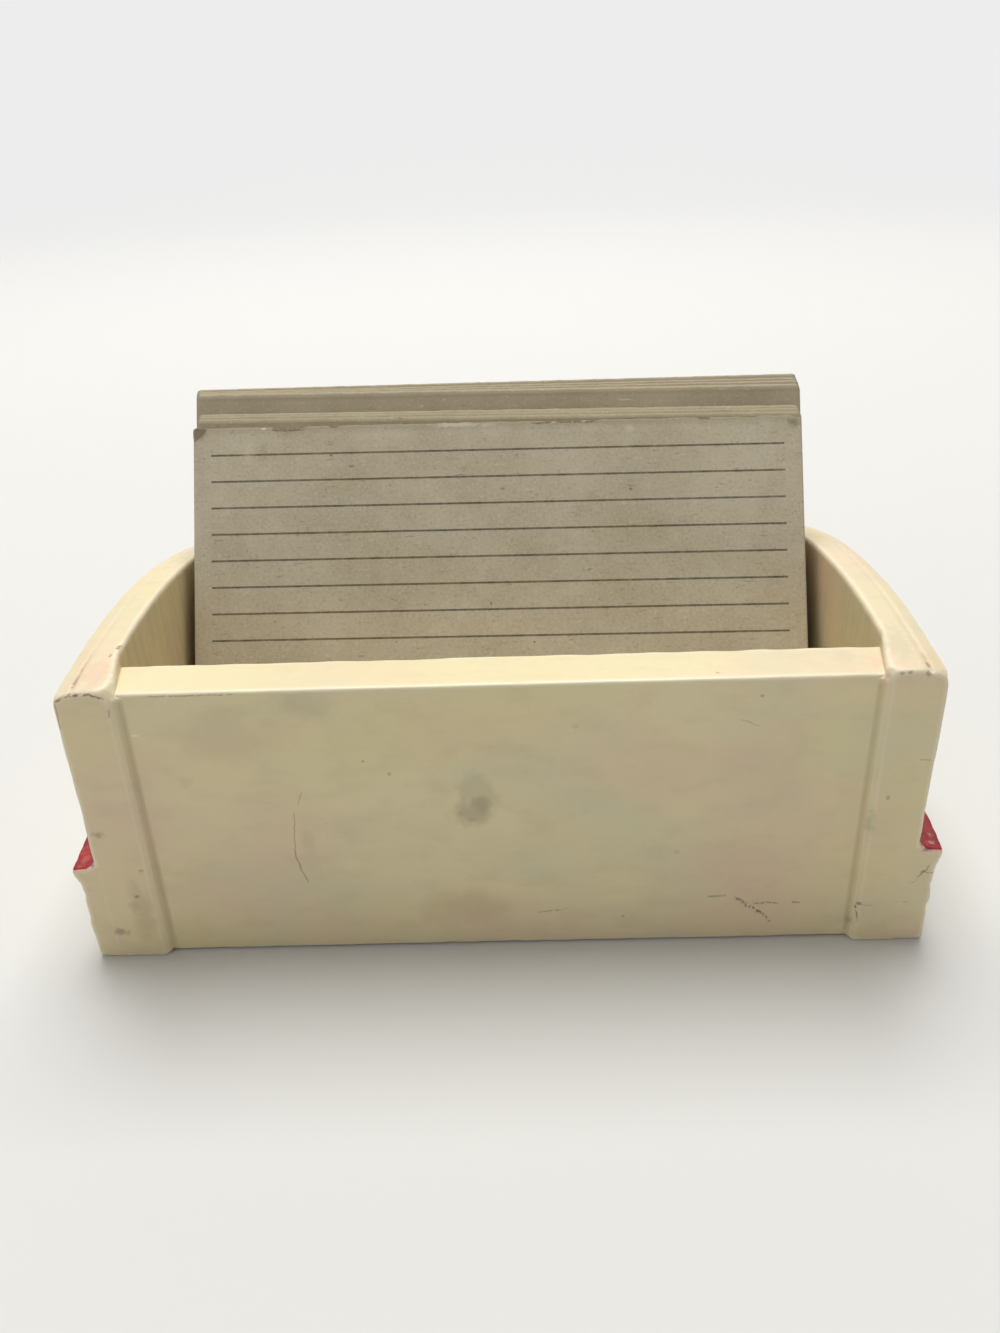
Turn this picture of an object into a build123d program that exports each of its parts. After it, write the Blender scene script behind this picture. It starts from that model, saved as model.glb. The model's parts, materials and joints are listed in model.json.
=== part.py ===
from build123d import *
import math
import os

os.makedirs("parts", exist_ok=True)

# A free-standing wooden recipe box for 6 x 4 inch cards, open at the top. Two arch-topped
# end boards hold a high back panel, a lower front panel and a floor. A plinth with a ledge
# runs round the ends and the front. Millimetres, +Z up, +Y from the back panel to the
# front, origin on the resting plane under the middle of the overall box.

# Cards
card_width = 152.4
card_height = 101.6
card_thickness = 0.55
card_corner_radius = 1.0
guide_side_extra = 1.6
middle_card_extra = 1.4
flat_guide_extra = 6.4
fanned_guide_extra = 8.2
card_side_gap = 3.0
card_off_centre = 0.4
front_card_foot_gap = 16.0
front_card_gap = 1.2
card_foot_clearance = 0.3
card_rest_clearance = 0.3
packet_gap = 0.35
middle_card_count = 4
middle_card_pitch = 0.7
middle_card_tilt = 1.05
flat_guide_count = 3
flat_guide_pitch = 0.6
flat_guide_tilt = 0.84
fanned_guide_count = 4
fanned_guide_pitch = 0.6
fanned_guide_tilt = 0.3
front_card_tilt = 0.52
rear_card_count = 28
rear_card_pitch = 0.71
rear_card_tilt = 0.3

# End boards
end_thickness = 9.2
end_depth = 110.0
end_back_height = 68.9
end_middle_height = 70.2
end_front_height = 58.2
corner_swell = 2.6
edge_return = 1.0
edge_round = 0.8
bevel_width = 3.4
bevel_drop = 1.6
bead_groove_width = 0.7
bead_groove_depth = 0.5

# Panels and floor
panel_thickness = 12.7
back_panel_recess = 1.7
front_panel_recess = 5.2
panel_lift = 0.5
back_panel_drop = 1.5
front_panel_drop = 1.2
panel_edge_round = 0.6
housing_depth = 1.8
floor_thickness = 9.0
joint_clearance = 0.05

# Plinth
plinth_out = 5.8
plinth_waist_inset = 1.1
plinth_waist_height = 20.0
plinth_height = 24.9
plinth_cove_rise = 2.7
plinth_nose = 1.2
plinth_cove_radius = 12.0
plinth_foot_round = 1.3

# Brads and pins, round, with flush heads
brad_radius = 0.6
brad_head_radius = 1.1
brad_head_thickness = 0.6
corner_brad_length = 25.0
corner_brad_count = 3
corner_brad_margin = 9.0
plinth_pin_length = 12.5
plinth_pin_height = 12.0
plinth_pin_margin = 20.0
plinth_pin_count = 3
floor_brad_count = 3
floor_brad_margin = 22.0

# Places worked out from the sizes above
guide_width = card_width + guide_side_extra
inner_half = card_width / 2 + card_side_gap
outer_half = inner_half + end_thickness
plinth_half = outer_half + plinth_out
total_depth = end_depth + plinth_out
back_y = -total_depth / 2
front_y = back_y + end_depth
middle_y = (back_y + front_y) / 2
back_panel_y = back_y + back_panel_recess
front_panel_y = front_y - front_panel_recess
back_inner_y = back_panel_y + panel_thickness
front_inner_y = front_panel_y - panel_thickness
back_panel_top = end_back_height - back_panel_drop
front_panel_top = end_front_height - front_panel_drop
housing_half = inner_half + housing_depth
panel_half = housing_half - joint_clearance
floor_top = panel_lift + floor_thickness
swell_half = inner_half - corner_swell
above_all = end_middle_height + card_height

# Card packets, as distances behind the front card's face, square to the cards
middle_start = card_thickness + front_card_gap
middle_end = middle_start + (middle_card_count - 1) * middle_card_pitch + card_thickness
flat_guide_start = middle_end + packet_gap
flat_guide_end = flat_guide_start + (flat_guide_count - 1) * flat_guide_pitch + card_thickness
fanned_guide_start = flat_guide_end + packet_gap
fanned_guide_end = fanned_guide_start + (fanned_guide_count - 1) * fanned_guide_pitch + card_thickness
rear_start = fanned_guide_end + packet_gap
pack_depth = rear_start + (rear_card_count - 1) * rear_card_pitch + card_thickness

# The cards stand on the floor and lean until the last one meets the front panel's inner top edge
foot_y = back_inner_y + front_card_foot_gap
foot_z = floor_top + card_foot_clearance
lean_run = front_inner_y - foot_y
lean_rise = front_panel_top - foot_z
lean = math.acos((pack_depth + card_rest_clearance) / math.hypot(lean_run, lean_rise))
lean -= math.atan2(lean_rise, lean_run)


def arch_circle():
    """Centre y, centre z and radius of the circle through the end board's three top heights."""
    half = end_depth / 2
    points = ((-half, end_back_height), (0.0, end_middle_height), (half, end_front_height))
    (ya, za), (yb, zb), (yc, zc) = points
    qa, qb, qc = (y * y + z * z for y, z in points)
    cross = 2 * (ya * (zb - zc) + yb * (zc - za) + yc * (za - zb))
    centre_y = (qa * (zb - zc) + qb * (zc - za) + qc * (za - zb)) / cross
    centre_z = (qa * (yc - yb) + qb * (ya - yc) + qc * (yb - ya)) / cross
    return middle_y + centre_y, centre_z, math.hypot(centre_y, centre_z - end_middle_height)


arch_y, arch_z, arch_radius = arch_circle()


def spread(count, low, high):
    """Evenly spaced places from low to high, both ends included."""
    step = (high - low) / (count - 1)
    return [low + i * step for i in range(count)]


corner_brad_low = floor_top + corner_brad_margin
corner_brad_high = front_panel_top - corner_brad_margin
corner_brad_heights = spread(corner_brad_count, corner_brad_low, corner_brad_high)
floor_brad_back = back_inner_y + floor_brad_margin
floor_brad_front = front_inner_y - floor_brad_margin
floor_brad_places = spread(floor_brad_count, floor_brad_back, floor_brad_front)
floor_brad_height = panel_lift + floor_thickness / 2
side_pin_places = spread(plinth_pin_count, back_y + plinth_pin_margin, front_y - plinth_pin_margin)
front_pin_places = spread(plinth_pin_count, -inner_half + plinth_pin_margin, inner_half - plinth_pin_margin)
panel_centres = (back_panel_y + panel_thickness / 2, front_panel_y - panel_thickness / 2)


def brad(length, radius, head_radius, head_thickness):
    """A brad along +X: its head's flat face is at the origin and its point is at -X."""
    from_base = (Align.CENTER, Align.CENTER, Align.MIN)
    shank = Pos(0, 0, -length) * Cylinder(radius, length - head_thickness, align=from_base)
    head = Pos(0, 0, -head_thickness) * Cylinder(head_radius, head_thickness, align=from_base)
    return Plane.YZ * (shank + head)


def corner_brads():
    """Brads through the end boards into the ends of both panels, as separate solids."""
    one = brad(corner_brad_length, brad_radius, brad_head_radius, brad_head_thickness)
    right = [Pos(outer_half, y, z) * one for y in panel_centres for z in corner_brad_heights]
    return right + [mirror(item, about=Plane.YZ) for item in right]


def floor_brads():
    """Brads through the end boards into the edges of the floor, covered by the plinth."""
    one = brad(corner_brad_length, brad_radius, brad_head_radius, brad_head_thickness)
    right = [Pos(outer_half, y, floor_brad_height) * one for y in floor_brad_places]
    return right + [mirror(item, about=Plane.YZ) for item in right]


def plinth_pins():
    """Pins through the plinth into the end boards and the front panel."""
    one = brad(plinth_pin_length, brad_radius, brad_head_radius, brad_head_thickness)
    waist_half = plinth_half - plinth_waist_inset
    right = [Pos(waist_half, y, plinth_pin_height) * one for y in side_pin_places]
    left = [mirror(item, about=Plane.YZ) for item in right]
    waist_front = front_y + plinth_out - plinth_waist_inset
    front = [Pos(x, waist_front, plinth_pin_height) * Rot(0, 0, 90) * one for x in front_pin_places]
    return right + left + front


def cut_all(solid, tools):
    """Cut every tool from the solid."""
    for tool in tools:
        solid = solid - tool
    return solid


def end_board():
    """The right end board: thickened at its ends, arched on top, housed for the panels and the floor."""
    lip_half = swell_half + edge_return
    outline = Polyline(
        (outer_half, back_y),
        (outer_half, front_y),
        (lip_half, front_y),
        (swell_half, front_panel_y),
        (inner_half, front_inner_y),
        (inner_half, back_inner_y),
        (swell_half, back_panel_y),
        (lip_half, back_y),
        close=True,
    )
    plan = make_face(outline)
    ends = [v for v in plan.vertices() if min(abs(v.Y - back_y), abs(v.Y - front_y)) < 1e-6]
    plan = fillet(ends, edge_round)
    board = extrude(plan, above_all)
    arch = Pos(outer_half, arch_y, arch_z) * Rot(0, 90, 0) * Cylinder(arch_radius, 4 * end_thickness)
    board = board & arch
    board = board - arch_bevel() - bead_groove()
    for low_y in (back_panel_y, front_inner_y):
        housing = Box(housing_half, panel_thickness, above_all, align=Align.MIN)
        board = board - Pos(0, low_y, panel_lift) * housing
    floor_length = front_inner_y - back_inner_y
    floor_housing = Box(housing_half, floor_length, floor_thickness, align=Align.MIN)
    board = board - Pos(0, back_inner_y, panel_lift) * floor_housing
    return board


def arch_ring(points):
    """A ring cut turned about the arch's centre line, from (x, distance above the arch) points."""
    section = make_face(Polyline(*[(x, arch_radius + rise) for x, rise in points], close=True))
    return Pos(0, arch_y, arch_z) * revolve(section, axis=Axis.X)


def arch_bevel():
    """The soft bevel along the outer top edge of the right end board."""
    inner_x = outer_half - bevel_width
    past = outer_half + bevel_width
    return arch_ring([(inner_x, 0), (inner_x, bevel_drop), (past, bevel_drop), (past, -2 * bevel_drop)])


def bead_groove():
    """The thin groove that parts the bevel from the flat top of the right end board."""
    middle_x = outer_half - bevel_width
    half = bead_groove_width / 2
    sides = [(middle_x - half, bead_groove_depth), (middle_x + half, bead_groove_depth)]
    return arch_ring([sides[0], (middle_x, -bead_groove_depth), sides[1]])


def upright_panel(low_y, top):
    """A panel between the end boards, let into their housings, with its top edges eased."""
    panel = Pos(-panel_half, low_y + joint_clearance, panel_lift + joint_clearance) * Box(
        2 * panel_half,
        panel_thickness - 2 * joint_clearance,
        top - panel_lift - joint_clearance,
        align=Align.MIN,
    )
    top_edges = panel.edges().filter_by(Axis.X).group_by(Axis.Z)[-1]
    return fillet(top_edges, panel_edge_round)


def floor_panel():
    """The floor, housed in the end boards and butted between the panels."""
    length = front_inner_y - back_inner_y
    return Pos(-panel_half, back_inner_y + joint_clearance, panel_lift + joint_clearance) * Box(
        2 * panel_half,
        length - 2 * joint_clearance,
        floor_thickness - joint_clearance,
        align=Align.MIN,
    )


def plinth_section():
    """The plinth's section: distance out from the board it lies on, and height."""
    waist = plinth_out - plinth_waist_inset
    nose_low = plinth_height - plinth_nose
    lines = [
        Line((0, 0), (waist - plinth_foot_round, 0)),
        RadiusArc((waist - plinth_foot_round, 0), (waist, plinth_foot_round), -plinth_foot_round),
        Line((waist, plinth_foot_round), (waist, plinth_waist_height)),
        Line((waist, plinth_waist_height), (plinth_out, nose_low)),
        Line((plinth_out, nose_low), (plinth_out, plinth_height)),
        RadiusArc((plinth_out, plinth_height), (0, plinth_height + plinth_cove_rise), plinth_cove_radius),
        Line((0, plinth_height + plinth_cove_rise), (0, 0)),
    ]
    return make_face(lines)


def front_plinth_plan():
    """Everything above the front plinth's plan, which is mitred at both ends."""
    plan = Polyline(
        (-outer_half, front_y),
        (outer_half, front_y),
        (plinth_half, front_y + plinth_out),
        (-plinth_half, front_y + plinth_out),
        close=True,
    )
    return extrude(make_face(plan), above_all)


def side_plinth():
    """The right plinth, mitred at the front corner and square at the back."""
    section = Plane((outer_half, back_y, 0), x_dir=(1, 0, 0), z_dir=(0, -1, 0)) * plinth_section()
    return extrude(section, -total_depth) - front_plinth_plan()


def front_plinth():
    """The front plinth, mitred at both ends and packed out to meet the set-back front panel."""
    section = Plane((-plinth_half, front_y, 0), x_dir=(0, 1, 0), z_dir=(1, 0, 0)) * plinth_section()
    moulding = extrude(section, 2 * plinth_half) & front_plinth_plan()
    packing_half = swell_half - joint_clearance
    packing = Box(2 * packing_half, front_panel_recess, plinth_height + plinth_cove_rise, align=Align.MIN)
    return moulding + Pos(-packing_half, front_panel_y, 0) * packing


def card(width, height):
    """A card at the origin: width along X, thickness along +Y, standing up from its bottom edge."""
    face = RectangleRounded(width, height, card_corner_radius)
    return Plane.XZ * Pos(0, height / 2, -card_thickness) * extrude(face, card_thickness)


def stand_card(width, height, behind, tilt):
    """A card that leans on those behind it, with its right foot on the floor and its left one tilted up."""
    lift = card_thickness * math.sin(lean)
    sway = card_off_centre + height / 2 * math.sin(math.radians(tilt))
    place = Pos(-sway, foot_y + behind / math.cos(lean), foot_z + lift)
    corner = width / 2
    tilted = Pos(corner, 0, 0) * Rot(0, tilt, 0) * Pos(-corner, 0, 0)
    return place * Rot(-math.degrees(lean), 0, 0) * tilted * card(width, height)


def card_row(width, height, start, pitch, count, tilt):
    """Parallel cards in a row, from the distance of the first one behind the front card's face."""
    return [stand_card(width, height, start + i * pitch, tilt) for i in range(count)]


def front_card():
    """The front card of the stack."""
    return [stand_card(card_width, card_height, 0, front_card_tilt)]


def middle_cards():
    """The cards right behind the front card."""
    height = card_height + middle_card_extra
    return card_row(
        card_width, height, middle_start, middle_card_pitch, middle_card_count, middle_card_tilt
    )


def guide_cards():
    """The taller, wider guides: the first ones are tilted more than the last, so they fan out to the right."""
    flat_height = card_height + flat_guide_extra
    flat = card_row(
        guide_width, flat_height, flat_guide_start, flat_guide_pitch, flat_guide_count, flat_guide_tilt
    )
    fanned_height = card_height + fanned_guide_extra
    return flat + card_row(
        guide_width, fanned_height, fanned_guide_start, fanned_guide_pitch, fanned_guide_count, fanned_guide_tilt
    )


def rear_cards():
    """The rest of the cards."""
    return card_row(
        card_width, card_height, rear_start, rear_card_pitch, rear_card_count, rear_card_tilt
    )


def save(node, solids):
    """Write one node's solids to its STEP file."""
    items = solids if isinstance(solids, list) else [solids]
    shape = Compound([item.solid() for item in items]) if len(items) > 1 else items[0].solid()
    shape.label = node
    export_step(shape, f"parts/{node}.step")
    print(node, len(items))


all_corner_brads = corner_brads()
all_floor_brads = floor_brads()
all_plinth_pins = plinth_pins()
right_end = cut_all(end_board(), all_corner_brads + all_floor_brads + all_plinth_pins)
right_plinth = cut_all(side_plinth(), all_plinth_pins)
front_panel = upright_panel(front_inner_y, front_panel_top)
save("right_end_board", right_end)
save("left_end_board", mirror(right_end, about=Plane.YZ))
save("back_panel", cut_all(upright_panel(back_panel_y, back_panel_top), all_corner_brads))
save("front_panel", cut_all(front_panel, all_corner_brads + all_plinth_pins))
save("floor_panel", cut_all(floor_panel(), all_floor_brads))
save("right_plinth", right_plinth)
save("left_plinth", mirror(right_plinth, about=Plane.YZ))
save("front_plinth", cut_all(front_plinth(), all_plinth_pins))
save("corner_brads", all_corner_brads)
save("floor_brads", all_floor_brads)
save("plinth_pins", all_plinth_pins)
save("front_card", front_card())
save("middle_cards", middle_cards())
save("guide_cards", guide_cards())
save("rear_cards", rear_cards())
print("lean", round(math.degrees(lean), 2), "pack depth", round(pack_depth, 2))
print("way out along the card", round(math.sin(lean), 6), round(math.cos(lean), 6))
print("front card foot", round(foot_y, 3), round(foot_z + card_thickness * math.sin(lean), 3))
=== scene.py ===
"""A worn, painted wooden recipe box and its packets of cards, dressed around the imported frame."""
import json
import logging
import math
import random
from collections.abc import Callable
from dataclasses import dataclass, field
from enum import Enum

import bmesh
import bpy
from mathutils import Matrix, Vector, noise


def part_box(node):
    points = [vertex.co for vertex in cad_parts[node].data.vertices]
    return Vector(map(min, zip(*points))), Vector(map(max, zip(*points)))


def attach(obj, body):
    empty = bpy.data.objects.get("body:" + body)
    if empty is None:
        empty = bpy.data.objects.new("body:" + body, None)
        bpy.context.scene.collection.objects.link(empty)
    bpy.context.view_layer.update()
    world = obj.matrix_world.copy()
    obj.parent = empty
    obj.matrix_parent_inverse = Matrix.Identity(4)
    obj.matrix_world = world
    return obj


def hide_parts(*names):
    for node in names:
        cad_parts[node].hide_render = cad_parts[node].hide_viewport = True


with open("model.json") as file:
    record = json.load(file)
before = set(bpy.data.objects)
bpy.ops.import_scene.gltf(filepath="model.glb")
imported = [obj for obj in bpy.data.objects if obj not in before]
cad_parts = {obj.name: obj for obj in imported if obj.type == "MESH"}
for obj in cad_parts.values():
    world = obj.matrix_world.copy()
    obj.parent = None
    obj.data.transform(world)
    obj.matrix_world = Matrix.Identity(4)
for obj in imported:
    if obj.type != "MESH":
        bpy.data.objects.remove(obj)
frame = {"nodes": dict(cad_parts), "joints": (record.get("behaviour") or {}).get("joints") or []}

Tree = bpy.types.NodeTree
Node = bpy.types.Node
Piece = bpy.types.Object
Link = bpy.types.Node | bpy.types.NodeSocket
Shade = Link | tuple[float, ...]
Coat = tuple[Link, Shade]
Placing = Callable[[float], tuple[float, float]]

MM = 0.001
SEED = 41
log = logging.getLogger("recipe_box")


class Side(Enum):
    """Which end of the box a piece is on, as the sign of its X."""

    LEFT = -1
    RIGHT = 1


def linear(hex_colour: str) -> tuple[float, float, float, float]:
    """Turn an sRGB hex colour into linear light.

    Args:
        hex_colour: six hex digits.

    Returns:
        Red, green, blue and an alpha of 1.
    """
    parts = [int(hex_colour[i:i + 2], 16) / 255 for i in (0, 2, 4)]
    light = [c / 12.92 if c <= 0.04045 else ((c + 0.055) / 1.055) ** 2.4 for c in parts]
    return (*light, 1.0)


def per_mm(size: float) -> float:
    """A pattern's scale on coordinates in metres, from the size of its features in millimetres."""
    return 1 / (size * MM)


def in_metres(millimetres: tuple[float, ...]) -> Vector:
    """A place or a size in millimetres, as a vector in metres."""
    return Vector(millimetres) * MM


def add(tree: Tree, kind: str, links: dict, **settings: object) -> Node:
    """Add a shader node with its settings and links.

    Args:
        tree: the material's node tree.
        kind: the node's type, after its usual first word.
        links: what goes into each input, by name or number: a value, a socket, or a node's live output.
        settings: the node's own settings.

    Returns:
        The new node.
    """
    node = tree.nodes.new(f"ShaderNode{kind}")
    for name, value in settings.items():
        setattr(node, name, value)
    for key, value in links.items():
        named = [s for s in node.inputs if s.enabled and s.name == key]
        socket = named[0] if named else node.inputs[key]
        source = next(s for s in value.outputs if s.enabled) if isinstance(value, Node) else value
        if isinstance(source, bpy.types.NodeSocket):
            tree.links.new(source, socket)
        else:
            socket.default_value = source
    return node


def layered(tree: Tree, colour: Shade, coats: list[Coat]) -> Node:
    """Lay coats of colour one over another.

    Args:
        tree: the material's node tree.
        colour: the colour at the bottom.
        coats: each coat's share of the surface and its shade, from the bottom up.

    Returns:
        The colour at the top.
    """
    for share, shade in coats:
        colour = add(tree, "Mix", {"Factor": share, "A": colour, "B": shade}, data_type="RGBA")
    return colour


def speckled(tree: Tree, place: Link, cell: float, reach: float, bare: float, strength: float) -> Node:
    """Scatter dots over a surface, at most one to a cell.

    Args:
        tree: the material's node tree.
        place: the surface point's coordinates.
        cell: the cells' size, in millimetres.
        reach: the dots' radius, as a share of a cell.
        bare: the share of the cells that have no dot.
        strength: the dots' strength at their middle.

    Returns:
        The dots' share of the surface.
    """
    cells = add(tree, "TexVoronoi", {"Vector": place, "Scale": per_mm(cell)})
    near = add(tree, "MapRange", {"Value": cells.outputs["Distance"], "From Min": reach, "From Max": 0.02})
    pick = add(tree, "SeparateColor", {0: cells.outputs["Color"]})
    some = add(tree, "Math", {0: pick.outputs[0], 1: bare}, operation="GREATER_THAN")
    share = add(tree, "Math", {0: near, 1: some}, operation="MULTIPLY")
    return add(tree, "Math", {0: share, 1: strength}, operation="MULTIPLY")


def new_tree(name: str) -> tuple[bpy.types.Material, Tree, Node]:
    """Start a material.

    Args:
        name: the finish's name.

    Returns:
        The material, its empty tree and its surface shader, linked to the output.
    """
    material = bpy.data.materials.new(name)
    material.use_nodes = True
    tree = material.node_tree
    tree.nodes.clear()
    shader = tree.nodes.new("ShaderNodeBsdfPrincipled")
    output = tree.nodes.new("ShaderNodeOutputMaterial")
    tree.links.new(shader.outputs[0], output.inputs[0])
    return material, tree, shader


def made_object(name: str, bm: bmesh.types.BMesh) -> Piece:
    """Turn a finished shape into an object of the scene.

    Args:
        name: the object's name.
        bm: the shape, which is used up.

    Returns:
        The object.
    """
    mesh = bpy.data.meshes.new(name)
    bm.to_mesh(mesh)
    bm.free()
    made = bpy.data.objects.new(name, mesh)
    bpy.context.scene.collection.objects.link(made)
    return made


def installed(piece: Piece, node: str, body: str = "box") -> Piece:
    """Put a dressed piece in its node's place.

    Args:
        piece: the piece.
        node: the node that it replaces.
        body: the body that it rides on.

    Returns:
        The piece, riding.
    """
    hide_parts(node)
    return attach(piece, body)


@dataclass(frozen=True)
class Blot:
    """A smudge, stain, speck or worn patch, with its middle and reach in millimetres."""

    middle: tuple[float, float, float]
    reach: tuple[float, float, float]
    colour: str
    strength: float
    ragged: float = 0.7
    grain: float = 1.2
    softness: float = 0.65

    def coat(self, tree: Tree, place: Link) -> Coat:
        """Draw the blot.

        Args:
            tree: the material's node tree.
            place: the surface point's coordinates.

        Returns:
            The blot as a coat.
        """
        away = add(tree, "VectorMath", {0: place, 1: in_metres(self.middle)}, operation="SUBTRACT")
        scaled = add(tree, "VectorMath", {0: away, 1: in_metres(self.reach)}, operation="DIVIDE")
        far = add(tree, "VectorMath", {0: scaled}, operation="LENGTH")
        grain = add(tree, "TexNoise", {"Vector": place, "Scale": per_mm(self.grain), "Detail": 3.0})
        shift = add(tree, "Math", {0: grain, 1: 0.5}, operation="SUBTRACT")
        edge = add(tree, "Math", {0: shift, 1: 2 * self.ragged, 2: far}, operation="MULTIPLY_ADD")
        inside = add(tree, "MapRange", {"Value": edge, "From Min": 1.0, "From Max": 0.95 - self.softness,
                                        "To Max": self.strength}, interpolation_type="SMOOTHSTEP")
        return inside, linear(self.colour)


@dataclass(frozen=True)
class Hairline:
    """A fine crack or scratch on a flat face, in millimetres. A broken one shows only in short runs."""

    start: tuple[float, float, float]
    end: tuple[float, float, float]
    colour: str
    strength: float
    width: float = 0.25
    bow: float = 0.0
    wobble: float = 0.5
    broken: float = 0.0
    run_length: float = 1.1
    shake_length: float = 2.5
    facing: tuple[float, float, float] = (0.0, 1.0, 0.0)
    depth: float = 2.0

    def coat(self, tree: Tree, place: Link) -> Coat:
        """Draw the line, bowed and shaken, faint at its ends and only near its own face.

        Args:
            tree: the material's node tree.
            place: the surface point's coordinates.

        Returns:
            The line as a coat.
        """
        run = in_metres(self.end) - in_metres(self.start)
        facing = Vector(self.facing)
        across = run.cross(facing).normalized()
        away = add(tree, "VectorMath", {0: place, 1: in_metres(self.start)}, operation="SUBTRACT")
        share = add(tree, "VectorMath", {0: away, 1: run / run.length_squared}, operation="DOT_PRODUCT")
        side = add(tree, "VectorMath", {0: away, 1: across}, operation="DOT_PRODUCT")
        rest = add(tree, "Math", {0: 1.0, 1: share}, operation="SUBTRACT")
        bulge = add(tree, "Math", {0: share, 1: rest}, operation="MULTIPLY")
        bent = add(tree, "Math", {0: bulge, 1: -4 * self.bow * MM, 2: side}, operation="MULTIPLY_ADD")
        grain = add(tree, "TexNoise", {"Vector": place, "Scale": per_mm(self.shake_length), "Detail": 4.0})
        shake = add(tree, "Math", {0: grain, 1: 0.5}, operation="SUBTRACT")
        line = add(tree, "Math", {0: shake, 1: 2 * self.wobble * MM, 2: bent}, operation="MULTIPLY_ADD")
        off = add(tree, "Math", {0: line}, operation="ABSOLUTE")
        thin = add(tree, "MapRange", {"Value": off, "From Min": self.width * MM,
                                      "From Max": self.width * MM / 4, "To Max": self.strength})
        middle = add(tree, "Math", {0: share, 1: 0.5}, operation="SUBTRACT")
        reach = add(tree, "Math", {0: middle}, operation="ABSOLUTE")
        ends = add(tree, "MapRange", {"Value": reach, "From Min": 0.52, "From Max": 0.40})
        off_face = add(tree, "VectorMath", {0: away, 1: facing}, operation="DOT_PRODUCT")
        behind = add(tree, "Math", {0: off_face}, operation="ABSOLUTE")
        near = add(tree, "Math", {0: behind, 1: self.depth * MM}, operation="LESS_THAN")
        flaked = add(tree, "TexNoise", {"Vector": place, "Scale": per_mm(self.run_length), "Detail": 2.0})
        limit = 0.62 * self.broken
        gate = add(tree, "MapRange", {"Value": flaked, "From Min": limit - 0.12, "From Max": limit})
        shown = thin
        for part in (ends, near, gate):
            shown = add(tree, "Math", {0: shown, 1: part}, operation="MULTIPLY")
        return shown, linear(self.colour)


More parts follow.
